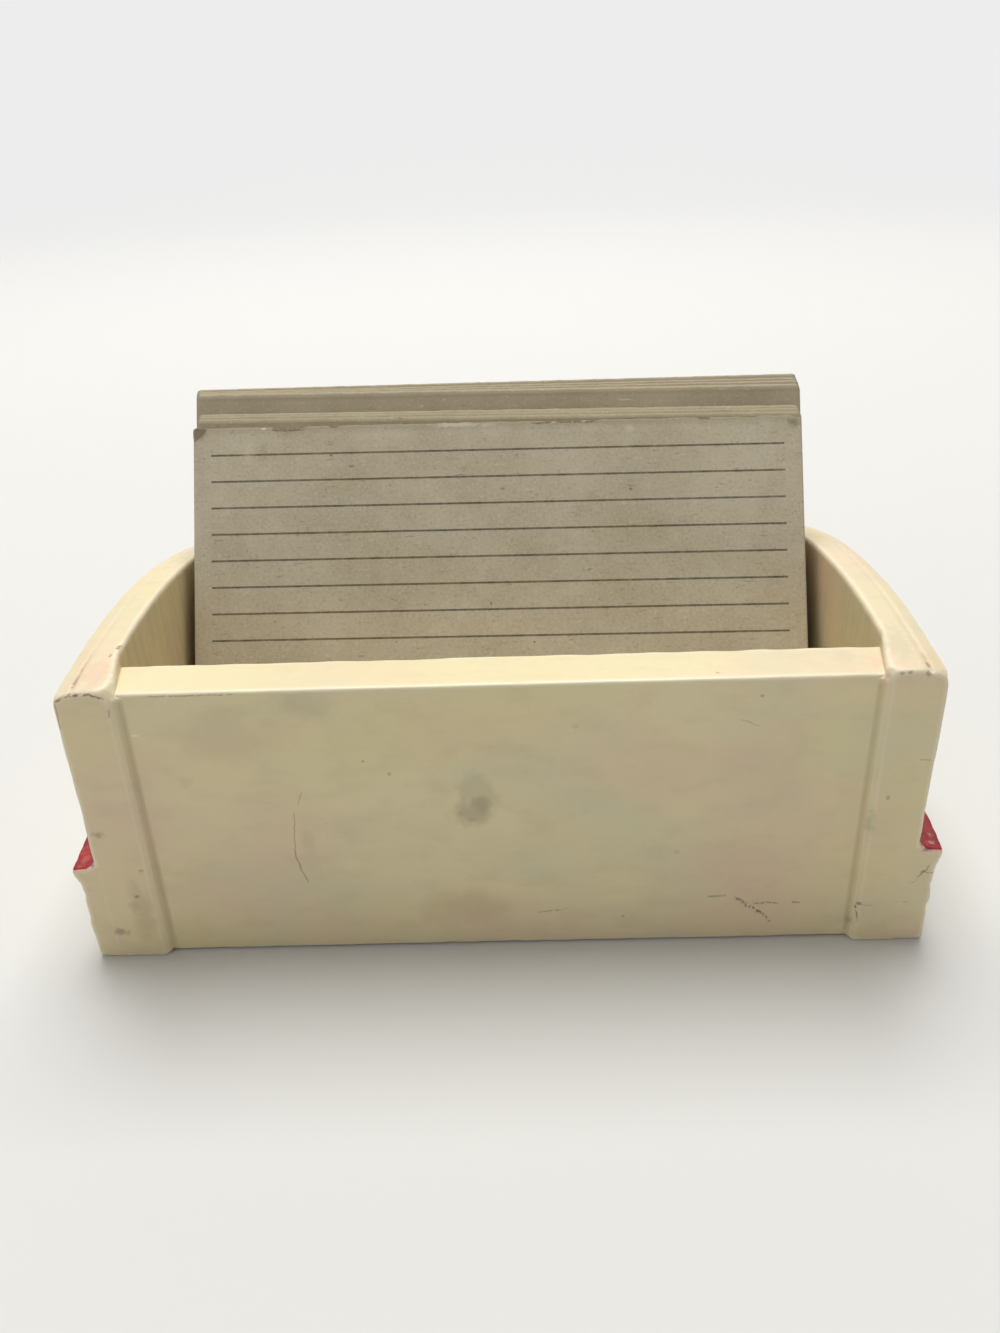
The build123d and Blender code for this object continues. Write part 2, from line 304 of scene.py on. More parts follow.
@dataclass(frozen=True)
class AgedEnamel:
    """Oil enamel, brushed on wood and decades old.

    Its skin is satin and has yellowed here and greyed or blushed there. Hands have worn its edges pale,
    a pale that is also a painted highlight along them, and knocked small chips out of them, down to the
    brown primer. Its corners and hollows are darker, with soil and with painted shade."""

    name: str
    paint: str = "E6D8AE"
    yellowed: str = "E2D49F"
    rosy: str = "E2C8AC"
    greyed: str = "D4D0AE"
    # Dark colour for soil and painted shade in hollows and corners, and for the dull mottle.
    grime_and_shade: str = "9E9468"
    primer: str = "7A5440"
    # Pale of worn edges, which is also a painted highlight along them.
    rubbed_and_highlight: str = "F0E7CB"
    streaks: str = "B3A26E"
    pitted: str = "7F7658"
    pink_rub: str = "DDB49C"
    bare_groove: str = "8A5844"
    ledge_red: str = "B4171B"
    deep_red: str = "7C1214"
    scored_red: str = "D07C70"
    blush: str = "F0C9B8"
    ior: float = 1.5
    specular: float = 0.42
    roughness: tuple[float, float] = (0.34, 0.52)
    marks: tuple[Blot | Hairline, ...] = ()
    chipped: float = 0.5
    groove_worn: float = 0.0
    red_above: float = 0.0
    streaked_side: int = 0
    covered_below: float = 0.0
    covered_beyond: float = 86.5

    def build(self) -> bpy.types.Material:
        """Make the finish.

        Returns:
            The material.
        """
        material, tree, shader = new_tree(self.name)
        place = add(tree, "TexCoord", {}).outputs["Object"]
        edge, hollow, groove = (add(tree, "Attribute", {}, attribute_name=name).outputs["Fac"]
                                for name in ("edge", "hollow", "groove"))
        drawn = add(tree, "Mapping", {"Vector": place, "Scale": (0.55, 1.0, 1.0)})
        mottle = add(tree, "TexNoise", {"Vector": drawn, "Scale": per_mm(5.0), "Detail": 5.0,
                                        "Roughness": 0.62})
        grit = add(tree, "TexNoise", {"Vector": place, "Scale": per_mm(0.9), "Detail": 3.0})
        # Darker in hollows and corners: soil, and painted shade where the corners lie in shadow.
        settled_grime_and_shade = add(tree, "MapRange", {"Value": hollow, "From Max": 0.8, "To Max": 0.7})
        coats = self.clouds(tree, drawn, mottle)
        if self.streaked_side:
            coats.append(self.brush_streaks(tree, place))
        coats += [(settled_grime_and_shade, linear(self.grime_and_shade)), self.pits(tree, place)]
        if self.covered_below:
            edge = self.uncovered(tree, place, edge)
        coats += self.rubbed_edges_and_highlight(tree, edge, mottle, grit)
        if self.groove_worn:
            coats += self.worn_groove(tree, groove, mottle)
        if self.red_above:
            coats += self.red_ledge(tree, place, mottle, grit)
        coats += [mark.coat(tree, place) for mark in self.marks]
        colour = layered(tree, linear(self.paint), coats)
        least, most = self.roughness
        roughness = add(tree, "MapRange", {"Value": mottle, "From Min": 0.3, "From Max": 0.7,
                                           "To Min": least, "To Max": most})
        tree.links.new(colour.outputs[2], shader.inputs["Base Color"])
        tree.links.new(roughness.outputs[0], shader.inputs["Roughness"])
        shader.inputs["IOR"].default_value = self.ior
        shader.inputs["Specular IOR Level"].default_value = self.specular
        self.relief(tree, shader, mottle, grit)
        return material

    def clouds(self, tree: Tree, drawn: Link, mottle: Link) -> list[Coat]:
        """Broad drifts of yellowed, rosy and greyed paint, 27 to 52 mm long, under a fine dull mottle.

        Args:
            tree: the material's node tree.
            drawn: the surface point's coordinates, drawn out along the box.
            mottle: the fine mottle.

        Returns:
            The coats.
        """
        coats = []
        for size, shade, low, high, most in ((52, self.yellowed, 0.45, 0.68, 0.6),
                                             (38, self.rosy, 0.47, 0.66, 0.75),
                                             (27, self.greyed, 0.48, 0.70, 0.65)):
            moved = add(tree, "Mapping", {"Vector": drawn, "Location": (size * MM, 0.0, size * MM)})
            drift = add(tree, "TexNoise", {"Vector": moved, "Scale": per_mm(size), "Detail": 4.0,
                                           "Roughness": 0.55})
            shown = add(tree, "MapRange", {"Value": drift, "From Min": low, "From Max": high,
                                           "To Max": most})
            coats.append((shown, linear(shade)))
        dull = add(tree, "MapRange", {"Value": mottle, "From Min": 0.5, "From Max": 0.8, "To Max": 0.16})
        return coats + [(dull, linear(self.grime_and_shade))]

    def brush_streaks(self, tree: Tree, place: Link) -> Coat:
        """Upright brush streaks 2 mm wide and long drawn, on the face that looks across the box.

        Args:
            tree: the material's node tree.
            place: the surface point's coordinates.

        Returns:
            The streaks as a coat.
        """
        drawn = add(tree, "Mapping", {"Vector": place, "Scale": (1.0, 1.0, 0.07)})
        streak = add(tree, "TexNoise", {"Vector": drawn, "Scale": per_mm(2.2), "Detail": 4.0})
        strong = add(tree, "MapRange", {"Value": streak, "From Min": 0.46, "From Max": 0.74, "To Max": 0.3})
        facing = add(tree, "NewGeometry", {}).outputs["Normal"]
        inward = add(tree, "VectorMath", {0: facing, 1: (-self.streaked_side, 0, 0)},
                     operation="DOT_PRODUCT")
        inner = add(tree, "MapRange", {"Value": inward, "From Min": 0.7, "From Max": 0.95})
        share = add(tree, "Math", {0: strong, 1: inner}, operation="MULTIPLY")
        return share, linear(self.streaks)

    def pits(self, tree: Tree, place: Link) -> Coat:
        """Sparse pin pits about 0.6 mm across that hold soil: one cell of 9 mm in four has one."""
        return speckled(tree, place, cell=9.0, reach=0.055, bare=0.74, strength=0.5), linear(self.pitted)

    def uncovered(self, tree: Tree, place: Link, edge: Link) -> Node:
        """Keep the pale edge wear with its painted highlight, and the chips, off places where filler and
        paint run on from the board to the plinth.

        Args:
            tree: the material's node tree.
            place: the surface point's coordinates.
            edge: how edged the place is.

        Returns:
            How edged the place is, with nothing where it is covered.
        """
        parts = add(tree, "SeparateXYZ", {0: place})
        out = add(tree, "Math", {0: parts.outputs["X"]}, operation="ABSOLUTE")
        inner = add(tree, "Math", {0: out, 1: self.covered_beyond * MM}, operation="LESS_THAN")
        above = add(tree, "Math", {0: parts.outputs["Z"], 1: self.covered_below * MM},
                    operation="GREATER_THAN")
        bare = add(tree, "Math", {0: inner, 1: above}, operation="MAXIMUM")
        return add(tree, "Math", {0: edge, 1: bare}, operation="MULTIPLY")

    def rubbed_edges_and_highlight(self, tree: Tree, edge: Link, mottle: Link, grit: Link) -> list[Coat]:
        """Edges handled pale, a pale that is also a painted highlight along them, and chipped to the primer
        in short broken runs.

        Args:
            tree: the material's node tree.
            edge: how edged the place is.
            mottle: the fine mottle.
            grit: the finest pattern.

        Returns:
            The coats.
        """
        # The pale along the edges is worn paint and a painted highlight both.
        pale = add(tree, "MapRange", {"Value": edge, "From Min": 0.16, "From Max": 0.60, "To Max": 0.6})
        broken = add(tree, "Math", {0: mottle, 1: grit}, operation="MULTIPLY")
        strong = add(tree, "Math", {0: edge, 1: broken}, operation="MULTIPLY")
        limit = 0.55 - 0.28 * self.chipped
        chip = add(tree, "MapRange", {"Value": strong, "From Min": limit, "From Max": limit + 0.05,
                                      "To Max": 0.8})
        return [(pale, linear(self.rubbed_and_highlight)), (chip, linear(self.primer))]

    def worn_groove(self, tree: Tree, groove: Link, mottle: Link) -> list[Coat]:
        """The groove beside the bevel, worn to red-brown primer in broken runs, with a pink rub round it.

        Args:
            tree: the material's node tree.
            groove: how near the groove the place is.
            mottle: the fine mottle.

        Returns:
            The coats.
        """
        worn = self.groove_worn
        wide = add(tree, "MapRange", {"Value": groove, "From Max": 0.9, "To Max": 0.35 * worn})
        dark = add(tree, "MapRange", {"Value": groove, "From Min": 0.55, "From Max": 0.85})
        broken = add(tree, "MapRange", {"Value": mottle, "From Min": 0.62 - 0.25 * worn,
                                        "From Max": 0.70 - 0.25 * worn, "To Max": 0.75 * worn})
        share = add(tree, "Math", {0: dark, 1: broken}, operation="MULTIPLY")
        return [(wide, linear(self.pink_rub)), (share, linear(self.bare_groove))]

    def red_ledge(self, tree: Tree, place: Link, mottle: Link, grit: Link) -> list[Coat]:
        """Red gloss enamel on what faces up above a height, with a wavering blushed border.

        Grit has scored it pale here and there.

        Args:
            tree: the material's node tree.
            place: the surface point's coordinates.
            mottle: the fine mottle.
            grit: the finest pattern.

        Returns:
            The coats.
        """
        height = add(tree, "SeparateXYZ", {0: place}).outputs["Z"]
        facing = add(tree, "NewGeometry", {}).outputs["Normal"]
        upward = add(tree, "SeparateXYZ", {0: facing}).outputs["Z"]
        rough = add(tree, "Math", {0: mottle, 1: grit}, operation="ADD")
        waver = add(tree, "Math", {0: rough, 1: 0.22, 2: upward}, operation="MULTIPLY_ADD")
        high = add(tree, "Math", {0: height, 1: self.red_above * MM}, operation="GREATER_THAN")
        top = add(tree, "MapRange", {"Value": waver, "From Min": 0.86, "From Max": 0.93})
        share = add(tree, "Math", {0: top, 1: high}, operation="MULTIPLY")
        thin = add(tree, "MapRange", {"Value": waver, "From Min": 0.35, "From Max": 0.6, "To Max": 0.7})
        blushed = add(tree, "Math", {0: thin, 1: high}, operation="MULTIPLY")
        deep = add(tree, "MapRange", {"Value": mottle, "From Min": 0.36, "From Max": 0.58, "To Max": 0.9})
        laid = add(tree, "Mapping", {"Vector": place, "Rotation": (0.0, 0.0, 0.5), "Scale": (1.0, 0.5, 1.0)})
        scratch = add(tree, "TexNoise", {"Vector": laid, "Scale": per_mm(1.1), "Detail": 4.0})
        scored = add(tree, "MapRange", {"Value": scratch, "From Min": 0.58, "From Max": 0.70, "To Max": 0.5})
        red_coats = [(deep, linear(self.deep_red)), (scored, linear(self.scored_red))]
        red = layered(tree, linear(self.ledge_red), red_coats)
        return [(blushed, linear(self.blush)), (share, red)]

    def relief(self, tree: Tree, shader: Node, mottle: Link, grit: Link) -> None:
        """Brushed-out relief a few hundredths of a millimetre deep.

        Args:
            tree: the material's node tree.
            shader: the surface shader that it roughens.
            mottle: the fine mottle.
            grit: the finest pattern.
        """
        low = add(tree, "Bump", {"Height": mottle, "Strength": 0.4, "Distance": 0.12 * MM})
        fine = add(tree, "Bump", {"Height": grit, "Strength": 0.3, "Distance": 0.02 * MM, "Normal": low})
        tree.links.new(fine.outputs[0], shader.inputs["Normal"])


@dataclass(frozen=True)
class BradSteel:
    """Drawn mild steel wire, gone dull and brown under old paint."""

    name: str = "dull_brad_steel"
    bright: str = "8F8A80"
    rusty: str = "6B4A38"
    metallic: float = 0.6
    roughness: float = 0.55

    def build(self) -> bpy.types.Material:
        """Make the finish.

        Returns:
            The material.
        """
        material, tree, shader = new_tree(self.name)
        place = add(tree, "TexCoord", {}).outputs["Object"]
        rust = add(tree, "TexNoise", {"Vector": place, "Scale": per_mm(1.2), "Detail": 4.0})
        share = add(tree, "MapRange", {"Value": rust, "From Min": 0.4, "From Max": 0.65})
        colour = layered(tree, linear(self.bright), [(share, linear(self.rusty))])
        tree.links.new(colour.outputs[2], shader.inputs["Base Color"])
        shader.inputs["Metallic"].default_value = self.metallic
        shader.inputs["Roughness"].default_value = self.roughness
        return material


@dataclass(frozen=True)
class KraftCard:
    """Uncoated manila index card, aged: matt, with pulp flecks, short fibres and grubby clouds.

    Its coordinates are its own map, in metres across the card and up it."""

    name: str
    stock: str = "CEC4AD"
    dark_stock: str = "BFB49A"
    fibre: str = "DCD3BC"
    # Dark colour of specks, fibres and mottle, and of the band of soiling and painted shade under the top
    # edge.
    speck: str = "6C634F"
    worn_top: str = "C9BC9C"
    roughness: float = 0.86
    specular: float = 0.25
    # Strength of the darker band under the top edge: soiling and painted shade between the cards.
    top_dirt_and_shade: float = 0.35
    top_wear: float = 0.5
    grain: float = 1.0
    ruled: bool = False
    rule_ink: str = "564E3D"
    first_rule: float = 94.54
    rule_pitch: float = 6.68
    rule_half: float = 71.8
    rule_width: float = 0.5
    marks: tuple[Blot | Hairline, ...] = ()

    def build(self) -> bpy.types.Material:
        """Make the finish.

        Returns:
            The material.
        """
        material, tree, shader = new_tree(self.name)
        place = add(tree, "UVMap", {}, uv_map="card").outputs[0]
        rim = add(tree, "Attribute", {}, attribute_name="rim").outputs["Fac"]
        cloud, mottle, pulp = (
            add(tree, "TexNoise", {"Vector": place, "Scale": per_mm(size), "Detail": fine,
                                   "Roughness": rough})
            for size, fine, rough in ((24.0, 5.0, 0.65), (3.2, 6.0, 0.7), (0.8, 4.0, 0.7)))
        both = add(tree, "Math", {0: mottle, 1: 0.5, 2: pulp}, operation="MULTIPLY_ADD")
        tone = add(tree, "MapRange", {"Value": cloud, "From Min": 0.38, "From Max": 0.66})
        flecks = add(tree, "MapRange", {"Value": both, "From Min": 0.80, "From Max": 0.98,
                                        "To Max": 0.55 * self.grain})
        dark = add(tree, "MapRange", {"Value": both, "From Min": 0.70, "From Max": 0.50,
                                      "To Max": 0.3 * self.grain})
        coats = [(tone, linear(self.dark_stock)), (flecks, linear(self.fibre)), (dark, linear(self.speck))]
        coats += self.fibres(tree, place)
        coats.append(self.specks(tree, place))
        if self.ruled:
            coats.append(self.rules(tree, place, mottle))
        coats += self.handled_top(tree, rim, mottle)
        coats += [mark.coat(tree, place) for mark in self.marks]
        colour = layered(tree, linear(self.stock), coats)
        tree.links.new(colour.outputs[2], shader.inputs["Base Color"])
        shader.inputs["Roughness"].default_value = self.roughness
        shader.inputs["Specular IOR Level"].default_value = self.specular
        bump = add(tree, "Bump", {"Height": pulp, "Strength": 0.5, "Distance": 0.05 * MM})
        tree.links.new(bump.outputs[0], shader.inputs["Normal"])
        return material

    def handled_top(self, tree: Tree, rim: Link, mottle: Link) -> list[Coat]:
        """The top edge that fingers leaf through: worn pale for a third of a millimetre, and below it
        soiling and painted shade between the cards.

        Args:
            tree: the material's node tree.
            rim: how far below the top edge the place is, in millimetres.
            mottle: the fine mottle.

        Returns:
            The coats.
        """
        ragged = add(tree, "Math", {0: mottle, 1: -0.8, 2: rim}, operation="MULTIPLY_ADD")
        # Darker band below the top edge: soiling and painted shade between the cards.
        dirt_and_shade = add(tree, "MapRange", {"Value": ragged, "From Min": 1.7, "From Max": 0.2,
                                      "To Max": self.top_dirt_and_shade})
        pale = add(tree, "MapRange", {"Value": ragged, "From Min": 0.0, "From Max": -0.2,
                                      "To Max": self.top_wear})
        return [(dirt_and_shade, linear(self.speck)), (pale, linear(self.worn_top))]

    def fibres(self, tree: Tree, place: Link) -> list[Coat]:
        """Pale and dark hair fibres a few millimetres long, lying two ways.

        Args:
            tree: the material's node tree.
            place: the surface point's coordinates.

        Returns:
            The coats.
        """
        coats = []
        for turn, shade in ((0.5, self.fibre), (-0.9, self.speck)):
            laid = add(tree, "Mapping", {"Vector": place, "Rotation": (0.0, 0.0, turn),
                                         "Scale": (0.22, 1.0, 1.0)})
            hair = add(tree, "TexNoise", {"Vector": laid, "Scale": per_mm(0.7), "Detail": 2.0,
                                          "Distortion": 1.2})
            share = add(tree, "MapRange", {"Value": hair, "From Min": 0.66, "From Max": 0.76,
                                           "To Max": 0.45})
            coats.append((share, linear(shade)))
        return coats

    def specks(self, tree: Tree, place: Link) -> Coat:
        """Stray dark pulp specks a third of a millimetre across."""
        return speckled(tree, place, cell=6.0, reach=0.05, bare=0.6, strength=0.6), linear(self.speck)

    def rules(self, tree: Tree, place: Link, mottle: Link) -> Coat:
        """Printed rules, a little uneven in ink, stopping short of both sides.

        Args:
            tree: the material's node tree.
            place: the surface point's coordinates.
            mottle: the fine mottle.

        Returns:
            The rules as a coat.
        """
        parts = add(tree, "SeparateXYZ", {0: place})
        below = add(tree, "Math", {0: self.first_rule * MM, 1: parts.outputs["Y"]}, operation="SUBTRACT")
        counted = add(tree, "Math", {0: below, 1: self.rule_pitch * MM}, operation="DIVIDE")
        nearest = add(tree, "Math", {0: counted}, operation="ROUND")
        from_line = add(tree, "Math", {0: counted, 1: nearest}, operation="SUBTRACT")
        off = add(tree, "Math", {0: from_line}, operation="ABSOLUTE")
        half = self.rule_width / 2 / self.rule_pitch
        line = add(tree, "MapRange", {"Value": off, "From Min": half * 1.25, "From Max": half * 0.75})
        wide = add(tree, "Math", {0: parts.outputs["X"]}, operation="ABSOLUTE")
        within = add(tree, "Math", {0: wide, 1: self.rule_half * MM}, operation="LESS_THAN")
        under = add(tree, "Math", {0: nearest, 1: -0.5}, operation="GREATER_THAN")
        ink = add(tree, "MapRange", {"Value": mottle, "From Min": 0.35, "From Max": 0.7,
                                     "To Min": 0.92, "To Max": 0.62})
        shown = line
        for part in (within, under, ink):
            shown = add(tree, "Math", {0: shown, 1: part}, operation="MULTIPLY")
        return shown, linear(self.rule_ink)


@dataclass(frozen=True)
class Knock:
    """A dent or a worn-off corner, in millimetres."""

    middle: tuple[float, float, float]
    reach: float
    depth: float


NIBBLE_SHIFT = Vector((7, 3, 5))


@dataclass(frozen=True)
class Weathering:
    """How a board's crisp shape is worn into a painted, handled one, in millimetres.

    A place counts as fully edged where it stands out by full_edge of a voxel from its neighbours."""

    voxel: float = 0.55
    rounding: int = 5
    ripple: float = 0.10
    ripple_length: float = 16.0
    short_ripple_length: float = 4.0
    nibble: float = 0.30
    nibble_length: float = 5.0
    proud: float = 0.04
    full_edge: float = 0.1
    short_ripple: float = 0.3
    nibble_bias: float = 0.25
    knocks: tuple[Knock, ...] = ()

    def wear(self, name: str, bm: bmesh.types.BMesh) -> Piece:
        """Wear a closed shape: even mesh, rounded edges, slight ripple, nibbled edges.

        Args:
            name: the piece's name.
            bm: the crisp shape, which is used up.

        Returns:
            The worn piece.
        """
        bmesh.ops.recalc_face_normals(bm, faces=bm.faces)
        piece = made_object(name, bm)
        remesh = piece.modifiers.new("even_mesh", "REMESH")
        remesh.mode = "VOXEL"
        remesh.voxel_size = self.voxel * MM
        even = bpy.data.meshes.new_from_object(piece.evaluated_get(bpy.context.evaluated_depsgraph_get()))
        piece.modifiers.clear()
        piece.data = even
        worn = bmesh.new()
        worn.from_mesh(even)
        for _ in range(self.rounding):
            bmesh.ops.smooth_vert(worn, verts=worn.verts, factor=0.5, use_axis_x=True, use_axis_y=True,
                                  use_axis_z=True)
        self.ripple_faces(worn)
        worn.to_mesh(even)
        worn.free()
        even.name = name
        even.shade_smooth()
        return piece

    def ripple_faces(self, worn: bmesh.types.BMesh) -> None:
        """Move each point a little along its normal, and note how edged or hollow its place is.

        Args:
            worn: the evenly meshed shape.
        """
        edge_layer = worn.verts.layers.float.new("edge")
        hollow_layer = worn.verts.layers.float.new("hollow")
        worn.normal_update()
        full_edge = self.full_edge * self.voxel * MM
        bulges = [v.normal.dot(v.co - sum((e.other_vert(v).co for e in v.link_edges), Vector())
                               / len(v.link_edges)) / full_edge for v in worn.verts]
        worn.verts.ensure_lookup_table()
        spread = [(bulges[v.index] + sum(bulges[e.other_vert(v).index] for e in v.link_edges))
                  / (1 + len(v.link_edges)) for v in worn.verts]
        moves = []
        low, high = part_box("right_plinth")
        for v in worn.verts:
            bulge = spread[v.index]
            edge = min(1.0, max(0.0, bulge))
            v[edge_layer] = edge
            v[hollow_layer] = min(1.0, max(0.0, -bulge))
            wave = noise.noise(v.co / (self.ripple_length * MM)) * self.ripple
            short = noise.noise(v.co / (self.short_ripple_length * MM))
            wave += short * self.ripple * self.short_ripple
            bite = noise.noise(v.co / (self.nibble_length * MM) + NIBBLE_SHIFT)
            wave += edge * (bite - self.nibble_bias) * self.nibble
            moves.append(min(self.proud, wave) * MM)
        for v, move in zip(worn.verts, moves):
            v.co += v.normal * move
            for knock in self.knocks:
                away = (v.co - in_metres(knock.middle)).length / (knock.reach * MM)
                if away < 1:
                    v.co -= v.normal * knock.depth * MM * (1 - away * away) ** 2
            v.co.x = min(high.x, max(-high.x, v.co.x))
            v.co.y = min(high.y, max(low.y, v.co.y))
            v.co.z = max(0.0, v.co.z)


def loft(sections: list[list[Vector]]) -> bmesh.types.BMesh:
    """Join closed sections, one after another, into a closed solid.

    Args:
        sections: the sections' points, the same number in each.

    Returns:
        The solid.
    """
    bm = bmesh.new()
    ring = [bm.verts.new(p) for p in sections[0]]
    edges = [bm.edges.new(pair) for pair in zip(ring, ring[1:] + ring[:1])]
    for before, after in zip(sections, sections[1:]):
        grown = bmesh.ops.extrude_edge_only(bm, edges=edges)["geom"]
        edges = [g for g in grown if isinstance(g, bmesh.types.BMEdge)]
        for v in (g for g in grown if isinstance(g, bmesh.types.BMVert)):
            v.co = after[min(range(len(before)), key=lambda i: (v.co - before[i]).length)]
    bmesh.ops.holes_fill(bm, edges=[e for e in bm.edges if e.is_boundary], sides=0)
    bmesh.ops.recalc_face_normals(bm, faces=bm.faces)
    return bm


def block(low: Vector, high: Vector) -> bmesh.types.BMesh:
    """A box between two corners.

    Args:
        low: its lowest corner.
        high: its highest corner.

    Returns:
        The box.
    """
    bm = bmesh.new()
    bmesh.ops.create_cube(bm, size=1.0)
    bmesh.ops.scale(bm, vec=high - low, verts=bm.verts)
    bmesh.ops.translate(bm, vec=(high + low) / 2, verts=bm.verts)
    return bm


@dataclass
class EndBoard:
    """An arch-topped end board, thickened where it holds the panels. Sizes are in millimetres."""

    side: Side
    finish: AgedEnamel
    weathering: Weathering
    thickness: float = 9.2
    corner_swell: float = 2.6
    edge_return: float = 1.0
    back_height: float = 68.9
    middle_height: float = 70.2
    front_height: float = 58.2
    bevel_width: float = 3.4
    bevel_drop: float = 1.6
    groove_depth: float = 0.35
    groove_half: float = 0.8
    groove_rub: float = 1.8
    groove_fade: float = 26.0
    groove_faces_up: float = 0.6
    groove_least_wear: float = 0.4
    bead_along: float = 1.7
    bead_up: float = 1.35
    bead_sunk: float = 0.4
    bead_foot: float = 0.4
    bead_below_top: float = 0.6
    skin: float = 0.5
    lip_worn: float = 0.5
    lip_worn_back: float = 0.4
    lip_fade: float = 5.0
    arc_steps: int = 6
    station_gap: float = 2.0

    def __post_init__(self) -> None:
        """Read the board's place from the frame."""
        self.node = f"{self.side.name.lower()}_end_board"
        low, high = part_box("right_end_board")
        self.outer = high.x
        self.inner = self.outer - self.thickness * MM
        self.back, self.front = low.y, high.y
        back_low, back_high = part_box("back_panel")
        front_low, front_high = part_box("front_panel")
        self.panel_edges = (back_low.y, back_high.y, front_low.y, front_high.y)

    def inner_at(self, y: float) -> float:
        """How far out the inner face is.

        Args:
            y: the place along the board.

        Returns:
            The face's distance from the box's middle.
        """
        swell = self.inner - self.corner_swell * MM
        lip = swell + self.edge_return * MM
        back_out, back_in, front_in, front_out = self.panel_edges
        places = ((self.back, lip), (back_out, swell), (back_in, self.inner), (front_in, self.inner),
                  (front_out, swell), (self.front, lip))
        for (y0, x0), (y1, x1) in zip(places, places[1:]):
            if y <= y1:
                return x0 + (x1 - x0) * (y - y0) / (y1 - y0)
        return lip

    def top_at(self, y: float) -> float:
        """The arch's height, on the circle through its three heights.

        Args:
            y: the place along the board.

        Returns:
            The height.
        """
        half = (self.front - self.back) / 2
        heights = (self.back_height * MM, self.middle_height * MM, self.front_height * MM)
        points = tuple(zip((-half, 0.0, half), heights))
        (ya, za), (yb, zb), (yc, zc) = points
        qa, qb, qc = (a * a + b * b for a, b in points)
        cross = 2 * (ya * (zb - zc) + yb * (zc - za) + yc * (za - zb))
        middle_y = (qa * (zb - zc) + qb * (zc - za) + qc * (za - zb)) / cross
        middle_z = (qa * (yc - yb) + qb * (ya - yc) + qc * (yb - ya)) / cross
        reach = math.hypot(middle_y, middle_z - zb)
        from_middle = y - (self.back + self.front) / 2 - middle_y
        return middle_z + math.sqrt(reach * reach - from_middle * from_middle)

    def section(self, y: float) -> list[Vector]:
        """The board's section, drawn for the right end and turned to its side.

        Args:
            y: the place along the board.

        Returns:
            The section's corners.
        """
        top = self.top_at(y)
        inner = self.inner_at(y)
        outer = self.outer + self.skin * MM
        near_end = max(0.0, 1 - (y - self.back) / (self.lip_fade * MM))
        worn = (self.lip_worn + near_end * self.lip_worn_back) * MM
        corners = ((outer, 0), (outer, top - self.bevel_drop * MM),
                   (self.outer - self.bevel_width * MM, top), (inner + worn, top), (inner, top - worn),
                   (inner, 0))
        return [Vector((self.side.value * x, y, z)) for x, z in corners]

    def build(self) -> Piece:
        """Model the board.

        Returns:
            The piece, riding on the box.
        """
        count = round((self.front - self.back) / (self.station_gap * MM))
        even = [self.back + (self.front - self.back) * i / count for i in range(count + 1)]
        stations = sorted(set(even) | set(self.panel_edges))
        crisp = loft([self.section(y) for y in stations])
        for panel, to_y in (("back_panel", -1), ("front_panel", 1)):
            self.add_bead(crisp, panel, to_y)
        piece = self.weathering.wear(f"{self.node}_painted", crisp)
        self.cut_groove(piece)
        piece.data.materials.append(self.finish.build())
        return installed(piece, self.node)

    def add_bead(self, crisp: bmesh.types.BMesh, panel: str, to_y: int) -> None:
        """Add the concave bead of filler and paint in the corner between a panel's face and the board.

        Args:
            crisp: the board's mesh, which the bead melts into when it is worn.
            panel: the panel's node.
            to_y: which way along Y the panel's open face looks.
        """
        low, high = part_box(panel)
        corner_x = self.inner - self.corner_swell * MM
        corner_y = low.y if to_y < 0 else high.y
        angles = [math.radians(90 * i / self.arc_steps) for i in range(self.arc_steps + 1)]
        outline = [(-self.bead_sunk, -self.bead_sunk), (self.bead_along, -self.bead_sunk)]
        outline += [(self.bead_along * (1 - math.sin(a)), self.bead_up * (1 - math.cos(a))) for a in angles]
        outline += [(-self.bead_sunk, self.bead_up)]
        foot = low.z + self.bead_foot * MM
        rise = high.z - self.bead_below_top * MM - foot
        ring = [crisp.verts.new((self.side.value * (corner_x - x * MM), corner_y + to_y * y * MM, foot))
                for x, y in outline]
        grown = bmesh.ops.extrude_face_region(crisp, geom=[crisp.faces.new(ring)])["geom"]
        raised = [g for g in grown if isinstance(g, bmesh.types.BMVert)]
        bmesh.ops.translate(crisp, vec=(0, 0, rise), verts=raised)

    def cut_groove(self, piece: Piece) -> None:
        """Press in the shallow groove beside the bevel, and note how worn the paint round it is.

        Args:
            piece: the worn board.
        """
        worn = bmesh.new()
        worn.from_mesh(piece.data)
        layer = worn.verts.layers.float.new("groove")
        line = self.outer - self.bevel_width * MM
        least = self.groove_least_wear
        for v in worn.verts:
            if v.normal.z < self.groove_faces_up:
                continue
            away = abs(abs(v.co.x) - line) / MM
            fade = max(0.0, 1 - (v.co.y - self.back) / (self.groove_fade * MM))
            v[layer] = max(0.0, 1 - away / self.groove_rub) * (least + (1 - least) * fade)
            if away < self.groove_half:
                v.co.z -= self.groove_depth * MM * (1 - (away / self.groove_half) ** 2)
        worn.to_mesh(piece.data)
        worn.free()


@dataclass
class Panel:
    """A flat board between the ends, slightly rippled and wavy along its top. Sizes are in millimetres."""

    node: str
    finish: AgedEnamel
    weathering: Weathering = field(default_factory=lambda: Weathering(rounding=2, nibble=0.15))
    end_overlap: float = 0.9

    def build(self) -> Piece:
        """Model the panel.

        Returns:
            The piece, riding on the box.
        """
        low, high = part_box(self.node)
        inset = Vector((self.end_overlap * MM, 0, 0))
        bm = block(low + inset, high - inset)
        piece = self.weathering.wear(f"{self.node}_painted", bm)
        piece.data.materials.append(self.finish.build())
        return installed(piece, self.node)


